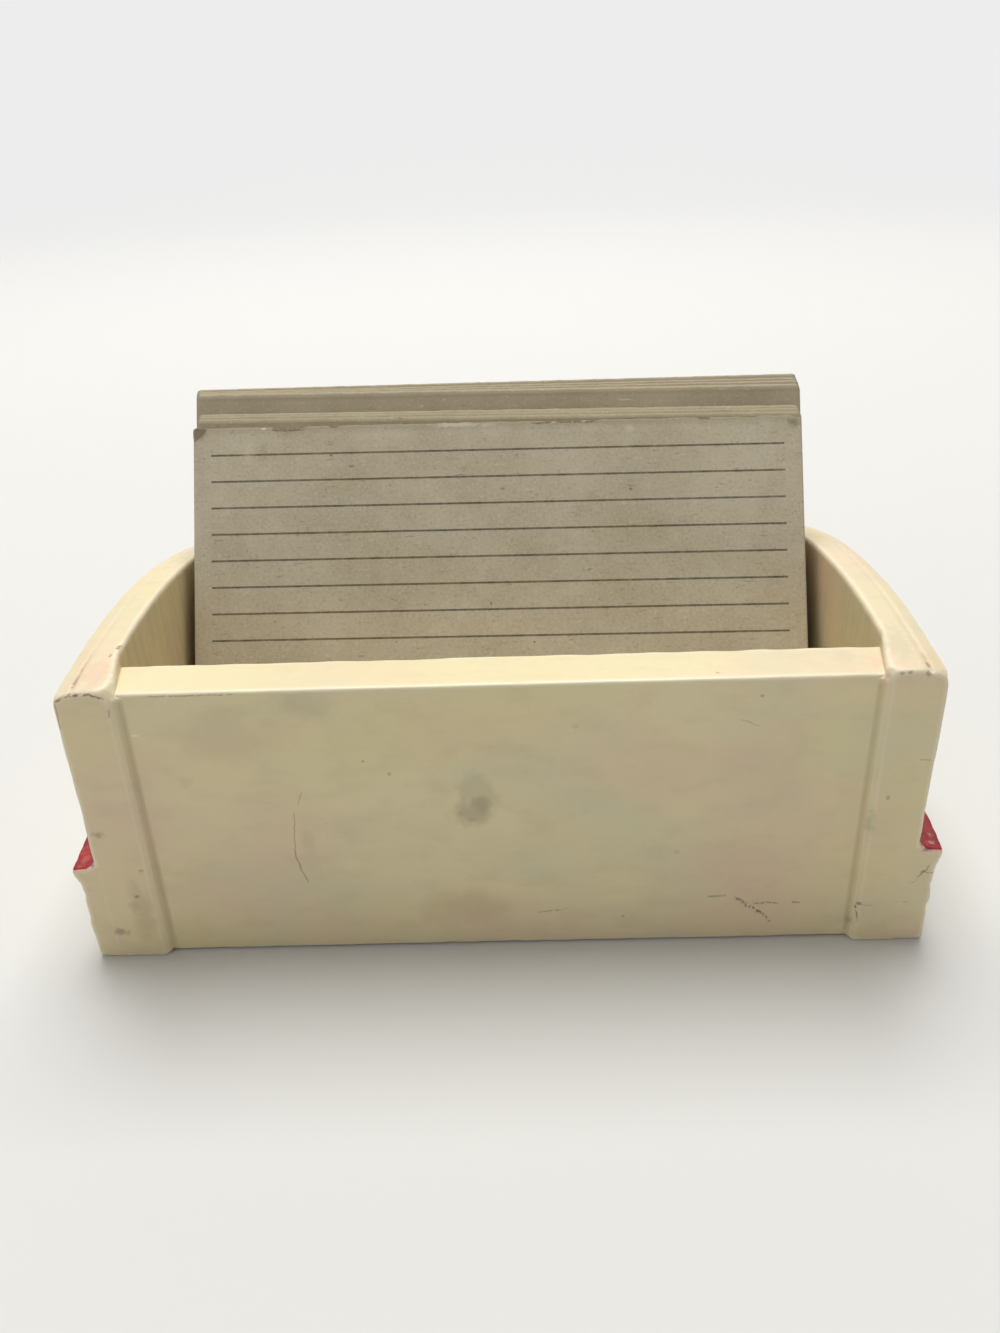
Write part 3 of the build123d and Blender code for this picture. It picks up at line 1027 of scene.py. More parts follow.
@dataclass
class Plinth:
    """The plinth's section and its three lengths. Sizes are in millimetres."""

    finish: AgedEnamel
    weathering: Weathering
    out: float = 5.8
    waist_inset: float = 1.1
    waist_height: float = 20.0
    height: float = 24.9
    cove_rise: float = 2.7
    tight_cove: float = 4.5
    gentle_cove: float = 1.5
    skin: float = 0.25
    end_rise: float = 1.6
    end_run: float = 11.0
    nose: float = 1.2
    foot_round: float = 1.3
    under_board: float = 4.0
    behind_face: float = 0.06
    arc_steps: int = 8

    def profile(self, cove_power: float, lift: float = 0.0) -> list[tuple[float, float]]:
        """The section, as distance out from the board and height, with its inner side in the board.

        Args:
            cove_power: how tightly the cove turns up where it meets the board.
            lift: how much higher than usual its ledge is.

        Returns:
            The section's points, from its foot up.
        """
        nose = self.out + self.skin
        waist = self.out - self.waist_inset
        ledge = self.height + lift
        foot = [math.radians(90 * i / self.arc_steps) for i in range(self.arc_steps + 1)]
        rounded = [(waist - self.foot_round * (1 - math.sin(a)), self.foot_round * (1 - math.cos(a)))
                   for a in foot]
        shares = [i / self.arc_steps for i in range(self.arc_steps + 1)]
        cove = [(nose * (1 - s), ledge + self.cove_rise * s ** cove_power) for s in shares]
        inside = [(-self.under_board, ledge + self.cove_rise), (-self.under_board, 0.0)]
        return rounded + [(waist, self.waist_height), (nose, ledge - self.nose)] + cove + inside

    def finished(self, node: str, bm: bmesh.types.BMesh, material: bpy.types.Material) -> Piece:
        """Wear a length of plinth, paint it and put it in its node's place.

        Args:
            node: the length's node.
            bm: its crisp shape.
            material: its paint.

        Returns:
            The piece, riding on the box.
        """
        piece = self.weathering.wear(f"{node}_painted", bm)
        piece.data.materials.append(material)
        return installed(piece, node)

    def section(self, at: Placing, power: float, lift: float = 0.0) -> list[Vector]:
        """Stand the section up in the box, each point placed by how far out it is."""
        return [Vector((*at(x * MM), z * MM)) for x, z in self.profile(power, lift)]

    def build(self) -> list[Piece]:
        """Model the left, right and front lengths, mitred at the front corners.

        Returns:
            The pieces, riding on the box.
        """
        material = self.finish.build()
        low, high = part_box("right_end_board")
        start = low.y + self.behind_face * MM
        pieces = []
        mitres = []
        for side in Side:
            sign = side.value
            back = self.section(lambda x: (sign * (high.x + x), start), self.tight_cove)
            risen = self.section(lambda x: (sign * (high.x + x), start + self.end_run * MM), self.tight_cove,
                                 self.end_rise)
            mitre = self.section(lambda x: (sign * (high.x + x), high.y + x), self.gentle_cove)
            mitres.append(mitre)
            node = f"{side.name.lower()}_plinth"
            pieces.append(self.finished(node, loft([back, risen, mitre]), material))
        pieces.append(self.finished("front_plinth", loft(mitres), material))
        return pieces


@dataclass
class PackingStrip:
    """The strip that packs the front plinth out to the set-back front panel. Sizes are in millimetres."""

    finish: AgedEnamel
    weathering: Weathering
    top: float = 27.6
    under_plinth: float = 0.5

    def build(self) -> Piece:
        """Model the strip, which belongs to the front plinth.

        Returns:
            The piece, riding on the box.
        """
        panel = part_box("front_panel")[1]
        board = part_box("right_end_board")
        half = board[0].x
        front = board[1].y + self.under_plinth * MM
        bm = block(Vector((-half, panel.y, 0)), Vector((half, front, self.top * MM)))
        piece = self.weathering.wear("front_plinth_packing", bm)
        piece.data.materials.append(self.finish.build())
        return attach(piece, "box")


@dataclass(frozen=True)
class EdgeDent:
    """A dent in a card's top edge, in millimetres along the card and down from its edge."""

    middle: float
    half_width: float
    depth: float


@dataclass(frozen=True)
class CardPlace:
    """Where one card stands, in millimetres and degrees.

    It has a height and a distance behind the front card, and it is tilted up about its right foot."""

    height: float
    behind: float
    tilt: float
    slide: float = 0.0
    width: float = 152.4


@dataclass
class CardPacket:
    """A packet of cards that moves as one. Sizes are in millimetres."""

    node: str
    body: str
    slot: str
    places: list[CardPlace]
    face: KraftCard
    rim: KraftCard
    columns: int = 150
    rows: int = 14
    dents: tuple[EdgeDent, ...] = ()
    fray: float = 0.10
    fine_fray: float = 0.6
    fray_bias: float = 0.4
    fray_lengths: tuple[float, float] = (3.0, 0.9)
    dog_ear: float = 0.0
    dog_ear_slope: float = 0.18
    off_centre: float = 0.4
    thickness: float = 0.55
    corner: float = 1.0

    def build(self) -> Piece:
        """Model the packet, card by card.

        Returns:
            The piece, riding on its own body.
        """
        random.seed(f"{SEED}{self.node}")
        bm = bmesh.new()
        bm.loops.layers.uv.new("card")
        bm.verts.layers.float.new("rim")
        for place in self.places:
            self.add_card(bm, place)
        piece = made_object(f"{self.node}_worn", bm)
        piece.data.materials.append(self.face.build())
        piece.data.materials.append(self.rim.build())
        return installed(piece, self.node, self.body)

    def stand(self, place: CardPlace) -> Matrix:
        """Where a card stands in the box, read from the frame's joints.

        Args:
            place: the card's place in its packet.

        Returns:
            The matrix that stands a flat, upright card there.
        """
        joints = {joint["name"]: joint for joint in frame["joints"]}
        foot = Vector(joints["rear_tip"]["pos_m"])
        up = Vector(joints["front_lift"]["axis"]).normalized()
        basis = Matrix(((1, 0, 0), (0, up.z, up.y), (0, -up.y, up.z))).to_4x4()
        tilt = math.radians(place.tilt)
        sway = self.off_centre + place.height / 2 * math.sin(tilt) - place.slide
        shift = Matrix.Translation(foot + Vector((-sway, place.behind / up.z, 0)) * MM)
        half = Vector((place.width / 2 * MM, 0, 0))
        tilted = Matrix.Rotation(tilt, 4, "Y")
        return shift @ basis @ Matrix.Translation(half) @ tilted @ Matrix.Translation(-half)

    def top_edge(self, x: float, height: float, seed: float) -> float:
        """The height of the frayed top edge.

        Args:
            x: the place along the card.
            height: the card's height.
            seed: what sets this card's edge apart from the others'.

        Returns:
            The edge's height, in millimetres.
        """
        coarse, fine = self.fray_lengths
        edge = height + (noise.noise(Vector((x / coarse, seed, 0))) - self.fray_bias) * self.fray
        edge += (noise.noise(Vector((x / fine, seed, 4))) - self.fray_bias) * self.fray * self.fine_fray
        for dent in self.dents:
            away = abs(x - dent.middle) / dent.half_width
            if away < 1:
                edge -= dent.depth * (1 - away * away)
        return edge

    def outline(self, x: float, h: float, top: float, half: float) -> tuple[float, float]:
        """Draw a point of the card's flat grid in to its rounded corners.

        Args:
            x: the point's place across the card.
            h: its height.
            top: the height of the card's top edge there.
            half: half the card's width.

        Returns:
            Its new place across and its new height, in millimetres.
        """
        dx = abs(x) - (half - self.corner)
        for edge, sign in ((top, 1), (0.0, -1)):
            dh = sign * (h - (edge - sign * self.corner))
            if dx > 0 and dh > 0:
                share = max(dx, dh) / math.hypot(dx, dh)
                x = math.copysign(half - self.corner + dx * share, x)
                h = edge - sign * self.corner + sign * dh * share
        return x, h

    def add_card(self, bm: bmesh.types.BMesh, place: CardPlace) -> None:
        """Add one card to the packet's mesh.

        Args:
            bm: the mesh.
            place: the card's place in the packet.
        """
        seed = random.uniform(0, 50)
        # Each plain card is cut from its own part of the sheet, so no two have the same flecks.
        offset = Vector((0, 0)) if self.face.ruled else Vector((random.uniform(1, 5), random.uniform(1, 5)))
        rim = bm.verts.layers.float["rim"]
        half = place.width / 2
        grid = bmesh.ops.create_grid(bm, x_segments=self.columns, y_segments=self.rows, size=1.0)
        for v in grid["verts"]:
            x = v.co.x * half
            top = self.top_edge(x, place.height, seed)
            share = (1 - math.cos(math.pi * (v.co.y + 1) / 2)) / 2
            x, h = self.outline(x, share * top, top, half)
            v[rim] = top - h
            v.co = Vector((x, self.curl(x + half, h - place.height), h)) * MM
        faces = {f for v in grid["verts"] for f in v.link_faces}
        grown = bmesh.ops.extrude_face_region(bm, geom=list(faces))["geom"]
        backs = [g for g in grown if isinstance(g, bmesh.types.BMVert)]
        fronts = list(grid["verts"])
        bmesh.ops.translate(bm, vec=(0, self.thickness * MM, 0), verts=backs)
        every = backs + fronts
        shell = {f for v in every for f in v.link_faces}
        bmesh.ops.recalc_face_normals(bm, faces=list(shell))
        layer = bm.loops.layers.uv["card"]
        for f in shell:
            f.normal_update()
            f.material_index = 1 if abs(f.normal.y) < 0.5 else 0
            f.smooth = f.material_index == 0
            for loop in f.loops:
                loop[layer].uv = Vector((loop.vert.co.x, loop.vert.co.z)) + offset
        bmesh.ops.transform(bm, matrix=self.stand(place), verts=every)

    def curl(self, from_left: float, from_top: float) -> float:
        """How far the face stands off flat, in millimetres: a dog-eared top left corner only."""
        return -self.dog_ear_slope * max(0.0, self.dog_ear - from_left + from_top)


@dataclass
class Brads:
    """Round brads with slightly domed heads. Sizes are in millimetres."""

    node: str
    finish: BradSteel
    places: list[tuple[Vector, Vector]]
    length: float
    radius: float = 0.6
    head_radius: float = 1.1
    dome: float = 0.22
    segments: int = 20

    def build(self) -> Piece:
        """Model the brads, each from its head's middle and the way its point looks.

        Returns:
            The piece, riding on the box.
        """
        bm = bmesh.new()
        for head, way in self.places:
            turn = way.to_track_quat("Z", "Y").to_matrix().to_4x4()
            stand = Matrix.Translation(head) @ turn
            radius = self.radius * MM
            shank = bmesh.ops.create_cone(bm, cap_ends=True, segments=self.segments, radius1=radius,
                                          radius2=radius, depth=self.length * MM)["verts"]
            bmesh.ops.translate(bm, vec=(0, 0, self.length * MM / 2), verts=shank)
            cap = bmesh.ops.create_uvsphere(bm, u_segments=self.segments, v_segments=10,
                                            radius=self.head_radius * MM)["verts"]
            bmesh.ops.scale(bm, vec=(1, 1, self.dome / self.head_radius), verts=cap)
            bmesh.ops.transform(bm, matrix=stand, verts=shank + cap)
        bmesh.ops.recalc_face_normals(bm, faces=bm.faces)
        piece = made_object(f"{self.node}_set", bm)
        piece.data.shade_smooth()
        piece.data.materials.append(self.finish.build())
        return installed(piece, self.node)


@dataclass
class Studio:
    """A pale floor that sweeps up behind, soft lamps and the photograph's viewpoint.

    The floor's lengths are its reach before the box and behind it, the bend's radius, the backdrop's
    height and half its width. Lengths are in millimetres, angles in degrees."""

    floor_lengths: tuple[float, ...] = (3000.0, 1600.0, 800.0, 2500.0, 6000.0)
    bend_steps: int = 10
    floor_colour: str = "D9D8D4"
    world_colour: str = "FFFFFF"
    world_strength: float = 0.25
    world_seen: float = 0.85
    fade_from: float = 600.0
    fade_to: float = 2200.0
    lamp_aim: tuple[float, float, float] = (0.0, 0.0, 40.0)
    camera_place: tuple[float, float, float] = (5.29, -243.99, 170.8)
    pitch: float = 27.88
    yaw: float = -1.39
    roll: float = 2.21
    frame_height: float = 1333.0
    focal_pixels: float = 1080.0
    sensor: float = 36.0

    def build(self) -> None:
        """Set the stage, its lamps and the camera."""
        self.floor()
        self.world()
        self.lamp("key_lamp", place=(-100, 1000, 3000), size=2100, power=106.0)
        self.lamp("fill_lamp", place=(-1500, -2100, 2100), size=2700, power=11.0)
        self.camera()
        bpy.context.scene.view_settings.view_transform = "Standard"

    def floor(self) -> None:
        """A floor that curves up into a backdrop behind the box."""
        bm = bmesh.new()
        near, reach, radius, wall, half = (length * MM for length in self.floor_lengths)
        bend = [math.radians(90 * i / self.bend_steps) for i in range(self.bend_steps + 1)]
        outline = [(-near, 0.0)] + [(reach + radius * math.sin(a), radius * (1 - math.cos(a))) for a in bend]
        outline.append((reach + radius, wall))
        line = [bm.verts.new((-half, y, z)) for y, z in outline]
        edges = [bm.edges.new(pair) for pair in zip(line, line[1:])]
        grown = bmesh.ops.extrude_edge_only(bm, edges=edges)["geom"]
        moved = [g for g in grown if isinstance(g, bmesh.types.BMVert)]
        bmesh.ops.translate(bm, vec=(2 * half, 0, 0), verts=moved)
        floor = made_object("studio_floor", bm)
        floor.data.shade_smooth()
        floor.data.materials.append(self.paper())

    def paper(self) -> bpy.types.Material:
        """Matt pale paper, which far off fades into the air.

        Returns:
            The material.
        """
        material, tree, shader = new_tree("pale_paper_floor")
        shader.inputs["Base Color"].default_value = linear(self.floor_colour)
        shader.inputs["Roughness"].default_value = 0.9
        place = add(tree, "TexCoord", {}).outputs["Object"]
        away = add(tree, "VectorMath", {0: place}, operation="LENGTH")
        far = add(tree, "MapRange", {"Value": away, "From Min": self.fade_from * MM,
                                     "From Max": self.fade_to * MM}, interpolation_type="SMOOTHSTEP")
        share = add(tree, "Math", {0: far, 1: self.seen(tree)}, operation="MULTIPLY")
        haze = add(tree, "Emission", {"Color": linear(self.world_colour), "Strength": self.world_seen})
        faded = add(tree, "MixShader", {0: share, 1: shader, 2: haze})
        output = shader.outputs[0].links[0].to_node
        tree.links.new(faded.outputs[0], output.inputs[0])
        return material

    def seen(self, tree: Tree) -> Node:
        """Tell rays that are seen, directly, in a reflection or through glass, from those that carry light.

        Args:
            tree: the node tree that asks.

        Returns:
            One for a seen ray and nothing for another.
        """
        path = add(tree, "LightPath", {}).outputs
        seen = path["Is Camera Ray"]
        for kind in ("Is Glossy Ray", "Is Transmission Ray"):
            seen = add(tree, "Math", {0: seen, 1: path[kind]}, operation="MAXIMUM")
        return seen

    def world(self) -> None:
        """An even sky, dimmer as light than it looks to the eye."""
        world = bpy.data.worlds.new("studio_air")
        bpy.context.scene.world = world
        world.use_nodes = True
        tree = world.node_tree
        sky = tree.nodes["Background"]
        sky.inputs["Color"].default_value = linear(self.world_colour)
        strength = add(tree, "MapRange", {"Value": self.seen(tree), "To Min": self.world_strength,
                                          "To Max": self.world_seen})
        tree.links.new(strength.outputs[0], sky.inputs["Strength"])

    def lamp(self, name: str, place: tuple[float, float, float], size: float, power: float) -> None:
        """A square soft lamp aimed at the box.

        Args:
            name: its name.
            place: where it hangs, in millimetres.
            size: its side, in millimetres.
            power: its power, in watts.
        """
        data = bpy.data.lights.new(name, "AREA")
        data.shape = "SQUARE"
        data.size = size * MM
        data.energy = power
        lamp = bpy.data.objects.new(name, data)
        bpy.context.scene.collection.objects.link(lamp)
        lamp.location = in_metres(place)
        aim = in_metres(self.lamp_aim) - lamp.location
        lamp.rotation_euler = aim.to_track_quat("-Z", "Y").to_euler()

    def camera(self) -> None:
        """The photograph's viewpoint, from a fit to the box's corners."""
        data = bpy.data.cameras.new("photo_camera")
        data.sensor_width = self.sensor
        data.lens = self.focal_pixels / self.frame_height * self.sensor
        data.clip_start = 10 * MM
        data.clip_end = 50.0
        camera = bpy.data.objects.new("photo_camera", data)
        bpy.context.scene.collection.objects.link(camera)
        pitch, yaw, roll = (math.radians(a) for a in (self.pitch, self.yaw, self.roll))
        ahead = Vector((math.sin(yaw) * math.cos(pitch), math.cos(yaw) * math.cos(pitch), -math.sin(pitch)))
        level = Vector((math.cos(yaw), -math.sin(yaw), 0))
        down = ahead.cross(level)
        right = math.cos(roll) * level + math.sin(roll) * down
        below = -math.sin(roll) * level + math.cos(roll) * down
        turn = Matrix((right, -below, -ahead)).transposed().to_4x4()
        camera.matrix_world = Matrix.Translation(in_metres(self.camera_place)) @ turn
        bpy.context.scene.camera = camera


FRAME_PAINT = "E3D2AB"
BACK_FACE = -57.9
PANEL_FACE = -56.2
DIRT = "6B644A"
SOOT = "4E4838"
# Dark colour for ink dots on the front card, and for painted shade in the torn gap of its top edge.
INK_AND_GAP_SHADE = "4A4131"
FLAT = (0.0, 0.0, 1.0)
RED_ABOVE = 23.5
COVERED_BELOW = 25.5
PIN_MARGIN = 20.0

PANEL_MARKS = (
    Blot((-8.0, PANEL_FACE, 11.0), (16.0, 3, 9.0), "C2AC86", 0.4, ragged=0.8, grain=9.0, softness=0.9),
    Blot((56.0, PANEL_FACE, 44.0), (16.0, 3, 14.0), "D9C8A8", 0.5, ragged=0.8, grain=9.0, softness=0.9),
    Blot((-58.0, PANEL_FACE, 56.0), (18.0, 3, 9.0), "D6C0A2", 0.45, ragged=0.8, grain=9.0, softness=0.9),
    Blot((-5.4, PANEL_FACE, 40.0), (5.8, 3, 8.2), "958E73", 0.24, ragged=0.6, grain=3.5, softness=0.5),
    Blot((-6.3, PANEL_FACE, 36.2), (4.6, 3, 4.2), "8A8369", 0.26, ragged=0.7, grain=2.6, softness=0.6),
    Blot((-4.4, PANEL_FACE, 38.6), (2.8, 3, 2.8), "A9A084", 0.65, ragged=0.5, grain=2.2, softness=0.8),
    Blot((-6.6, PANEL_FACE, 34.6), (1.4, 3, 0.8), "777056", 0.25, ragged=0.6, softness=0.8),
    Blot((-38.8, PANEL_FACE, 64.0), (9.0, 3, 4.0), "9A9276", 0.16, ragged=0.5, grain=4.0, softness=0.7),
    Blot((-74.2, PANEL_FACE, 57.7), (1.2, 2, 0.4), "F6F0DE", 0.7, ragged=0.4),
    Blot((-66.0, PANEL_FACE, 46.0), (2.2, 2, 2.4), "9C9274", 0.13, ragged=0.5, softness=0.8),
    Blot((-42.2, PANEL_FACE, 30.0), (2.4, 2, 4.4), "968E74", 0.15, ragged=0.5, grain=2.5, softness=0.7),
    Blot((76.0, -50.5, 67.4), (2.4, 5.0, 1.5), "DDB8A0", 0.4, ragged=1.0, grain=1.6, softness=0.9),
    Blot((70.0, -48.0, 67.4), (5.0, 5.0, 1.5), "C9C3A2", 0.4, ragged=0.9, grain=2.6, softness=0.9),
    Blot((15.5, PANEL_FACE, 57.1), (1.0, 2, 0.9), "8C8665", 0.28, softness=0.9),
    Blot((37.4, PANEL_FACE, 24.9), (1.0, 2, 1.0), "8C8665", 0.28, softness=0.9),
    Blot((-23.1, PANEL_FACE, 46.8), (0.6, 2, 0.6), DIRT, 0.4, softness=0.8),
    Hairline((-44.2, PANEL_FACE, 37.9), (-45.2, PANEL_FACE, 27.0), "978763", 0.5, width=0.2, wobble=0.4),
    Hairline((-45.3, PANEL_FACE, 28.2), (-43.2, PANEL_FACE, 18.6), "968560", 0.65, width=0.26, bow=-0.3),
    Hairline((-41.9, PANEL_FACE, 42.9), (-43.2, PANEL_FACE, 39.4), "978763", 0.45, width=0.18, wobble=0.9),
    Hairline((7.0, PANEL_FACE, 9.0), (13.8, PANEL_FACE, 9.7), DIRT, 0.45, width=0.3, broken=0.75),
    Hairline((44.2, PANEL_FACE, 12.2), (48.8, PANEL_FACE, 12.6), DIRT, 0.55, width=0.34, broken=0.84),
    Hairline((50.8, PANEL_FACE, 12.2), (56.4, PANEL_FACE, 7.0), SOOT, 0.6, width=0.55, wobble=1.2,
             broken=0.88, run_length=0.6),
    Hairline((54.6, PANEL_FACE, 9.2), (59.2, PANEL_FACE, 4.8), SOOT, 0.6, width=0.55, wobble=1.2,
             broken=0.88, run_length=0.6),
    Hairline((54.8, PANEL_FACE, 10.2), (60.6, PANEL_FACE, 10.0), DIRT, 0.6, width=0.34, broken=0.8),
    Hairline((63.4, PANEL_FACE, 10.3), (65.3, PANEL_FACE, 10.1), DIRT, 0.55, width=0.34),
    Hairline((48.7, PANEL_FACE, 57.7), (52.9, PANEL_FACE, 56.2), "948A6C", 0.35, width=0.22, wobble=0.8),
    Hairline((-71.0, PANEL_FACE, 66.7), (-52.0, PANEL_FACE, 66.7), "8C6A50", 0.5, width=0.24, wobble=0.25,
             broken=0.8, depth=0.9),
)
LEFT_MARKS = (
    Blot((-80.6, BACK_FACE, 13.0), (3.4, 2, 11.0), "B3A976", 0.4, ragged=0.7, grain=3.0, softness=0.8),
    Blot((-86.5, BACK_FACE, 34.4), (2.0, 2, 1.3), DIRT, 0.45, ragged=0.8, softness=0.95),
    Blot((-86.5, BACK_FACE, 7.5), (2.8, 2, 1.7), DIRT, 0.55, ragged=0.8, softness=0.95),
    Blot((-82.3, BACK_FACE, 14.7), (1.8, 2, 2.2), "968E68", 0.2, ragged=0.7, softness=0.8),
    Blot((-78.9, BACK_FACE, 24.5), (0.8, 2, 0.7), DIRT, 0.3),
    Blot((-81.2, BACK_FACE, 17.4), (0.7, 2, 0.5), SOOT, 0.55),
    Hairline((-77.9, BACK_FACE, 64.9), (-78.0, BACK_FACE, 63.0), "6E5E48", 0.4, width=0.3),
    Hairline((-88.3, BACK_FACE, 66.9), (-85.2, BACK_FACE, 68.3), "8A5B4A", 0.85, width=0.34, wobble=0.25,
             broken=0.75, depth=1.0),
    Hairline((-85.4, BACK_FACE, 68.3), (-80.6, BACK_FACE, 68.4), "8A5B4A", 0.85, width=0.34, wobble=0.25,
             broken=0.75, depth=1.0),
    Hairline((-81.0, BACK_FACE, 68.3), (-78.2, BACK_FACE, 67.2), "8A5B4A", 0.8, width=0.34, wobble=0.25,
             broken=0.75, depth=1.4),
    Hairline((-88.3, BACK_FACE, 60.5), (-88.3, BACK_FACE, 66.9), "B08A6E", 0.6, width=0.3, broken=0.6),
    Blot((-81.8, -52.0, 69.6), (3.6, 8.0, 2.0), "E2B9A2", 0.5, ragged=1.3, grain=1.8, softness=0.8),
    Blot((-79.9, -41.2, 70.4), (0.6, 1.3, 1.2), "9B2F2C", 0.8, ragged=0.9, grain=0.8),
    Blot((-80.6, -44.5, 70.2), (0.5, 0.9, 1.2), "B0604E", 0.7, ragged=0.9, grain=0.8),
)
RIGHT_MARKS = (
    Blot((79.3, BACK_FACE, 68.4), (0.7, 1.0, 0.4), "8A6A55", 0.5, ragged=1.0, grain=0.7),
    Blot((80.9, BACK_FACE, 68.5), (0.7, 1.0, 0.4), "8A6A55", 0.5, ragged=1.0, grain=0.7),
    Blot((84.5, BACK_FACE, 68.2), (0.8, 1.0, 0.6), "6E5848", 0.5, ragged=1.0, grain=0.7),
    Blot((84.9, -55.6, 69.0), (0.6, 1.2, 0.7), "77604E", 0.5, ragged=1.0, grain=0.7),
    Blot((81.0, -48.0, 69.8), (4.5, 9.0, 2.0), "C9C49F", 0.5, ragged=1.1, grain=1.6, softness=0.8),
    Blot((80.3, BACK_FACE, 38.9), (0.6, 2, 1.0), DIRT, 0.4),
    Blot((77.4, BACK_FACE, 32.4), (2.0, 2, 4.4), "A2A06E", 0.3, ragged=1.0, grain=1.8, softness=0.8),
    Blot((77.7, BACK_FACE, 10.8), (0.8, 2, 0.7), SOOT, 0.6, ragged=0.7),
    Blot((76.3, -56.8, 5.6), (1.2, 2, 2.4), "7A6A50", 0.4, ragged=0.6, softness=0.9),
    Hairline((77.9, BACK_FACE, 10.7), (80.9, BACK_FACE, 10.1), DIRT, 0.4, width=0.2),
    Hairline((76.9, BACK_FACE, 10.5), (78.1, BACK_FACE, 5.6), "5E4A38", 0.7, width=0.34, broken=0.8),
    Hairline((85.6, BACK_FACE, 11.3), (91.0, BACK_FACE, 10.8), DIRT, 0.25, width=0.25, broken=0.8),
    Hairline((85.4, BACK_FACE, 48.4), (88.0, BACK_FACE, 48.0), DIRT, 0.3, width=0.22, broken=0.7),
)
PLINTH_MARKS = (
    # The first, second and fourth blots, light pink and orange, are painted highlights on the gloss red.
    Blot((-91.8, -54.5, 25.6), (1.2, 1.6, 2.0), "CF6A60", 0.5, ragged=1.0, grain=0.8),
    Blot((-92.6, -56.6, 25.0), (0.8, 0.5, 1.0), "C4502C", 0.6, ragged=0.9, grain=0.6),
    Blot((-89.4, -57.0, 26.4), (0.9, 1.4, 1.8), "5E0E10", 0.6, ragged=0.8, grain=0.9),
    Blot((92.2, -55.4, 25.4), (0.9, 0.7, 1.5), "E08C7E", 0.7, ragged=0.9, grain=0.7),
    Blot((89.6, -56.0, 26.6), (1.2, 1.8, 2.0), "5E0E10", 0.7, ragged=0.8, grain=0.9),
    Blot((91.0, -57.3, 25.0), (2.6, 0.6, 0.9), "5E0E10", 0.6, ragged=0.8, grain=0.9),
    Hairline((89.1, BACK_FACE, 17.3), (91.5, BACK_FACE, 21.3), SOOT, 0.6, width=0.22,
             wobble=1.5, broken=0.8),
    Hairline((90.4, BACK_FACE, 19.6), (93.0, BACK_FACE, 19.2), SOOT, 0.5, width=0.2,
             wobble=1.3, broken=0.78),
    Hairline((87.0, BACK_FACE, 15.6), (89.4, BACK_FACE, 17.2), DIRT, 0.4, width=0.2,
             wobble=1.1, broken=0.75),
)
LEFT_KNOCKS = (
    Knock((-88.6, -57.9, 67.4), 1.8, 0.3),
    Knock((-83.0, -57.9, 68.9), 1.6, 0.2),
)
RIGHT_KNOCKS = (
    Knock((77.6, -57.9, 68.9), 2.4, 0.4),
    Knock((88.6, -57.9, 67.4), 2.4, 0.5),
    Knock((85.6, -57.9, 68.9), 1.6, 0.25),
)
PLINTH_KNOCKS = (
    Knock((-93.2, -57.9, 17.7), 1.8, 0.35),
    Knock((-93.1, -57.9, 11.8), 1.5, 0.25),
    Knock((93.2, -57.9, 15.4), 1.6, 0.3),
    Knock((93.1, -57.9, 9.2), 2.4, 0.35),
)
FRONT_CARD_MARKS = (
    # The dark blot in the dent at -52.3 mm is painted shade of the gap behind the torn edge.
    Blot((-40.9, 101.3, 0), (1.8, 0.5, 9), INK_AND_GAP_SHADE, 0.6, ragged=0.5),
    Blot((-52.3, 100.75, 0), (5.6, 0.6, 9), INK_AND_GAP_SHADE, 0.65, ragged=0.5),
    Blot((-58.4, 101.2, 0), (1.0, 0.5, 9), "F2EBDA", 0.9, ragged=0.4),
    Blot((-9.8, 101.0, 0), (8.4, 0.7, 9), "E6DDC6", 0.7, ragged=0.7),
    Blot((-2.0, 100.9, 0), (3.0, 0.6, 9), "DDD3B8", 0.5, ragged=0.7),
    Hairline((8.6, 101.1, 0), (25.6, 101.1, 0), INK_AND_GAP_SHADE, 0.6, width=0.3, broken=0.7, facing=FLAT, depth=9),
    Blot((14.5, 101.3, 0), (1.3, 0.4, 9), "EFE7D2", 0.7, ragged=0.4),
    Blot((22.0, 101.3, 0), (0.9, 0.4, 9), "EFE7D2", 0.6, ragged=0.4),
    Hairline((50.6, 101.1, 0), (53.6, 101.1, 0), "7A4E3C", 0.5, width=0.4, facing=FLAT, depth=9),
    Blot((74.3, 99.6, 0), (2.2, 1.6, 9), INK_AND_GAP_SHADE, 0.4, ragged=0.5, softness=0.9),
    Hairline((-76.2, 98.0, 0), (-72.6, 101.6, 0), INK_AND_GAP_SHADE, 0.35, width=0.3, wobble=0.2, facing=FLAT, depth=9),
    Blot((-75.4, 100.8, 0), (3.0, 3.0, 9), "75694F", 0.6, ragged=0.25, softness=0.45),
    Blot((-58.6, 95.0, 0), (1.6, 4.4, 9), "8F8469", 0.25, ragged=0.4, softness=0.95),
    Blot((-62.4, 95.4, 0), (2.6, 4.6, 9), "DAD0B6", 0.5, ragged=0.4, softness=0.95),
    Blot((24.0, 99.4, 0), (5.0, 1.6, 9), "DAD0B6", 0.4, ragged=0.5, softness=0.9),
    Blot((33.6, 99.3, 0), (1.6, 1.3, 9), "E2DAC2", 0.5, ragged=0.4, softness=0.9),
    Blot((-41.4, 94.0, 0), (0.5, 0.5, 9), INK_AND_GAP_SHADE, 0.7),
    Blot((-36.4, 91.1, 0), (0.9, 0.5, 9), INK_AND_GAP_SHADE, 0.45),
    Blot((1.4, 84.6, 0), (0.9, 0.5, 9), INK_AND_GAP_SHADE, 0.4),
    Blot((33.4, 83.9, 0), (0.6, 0.5, 9), INK_AND_GAP_SHADE, 0.55),
    Blot((-1.9, 55.8, 0), (0.4, 0.4, 9), INK_AND_GAP_SHADE, 0.7),
    Blot((8.7, 46.1, 0), (0.4, 0.4, 9), INK_AND_GAP_SHADE, 0.7),
)


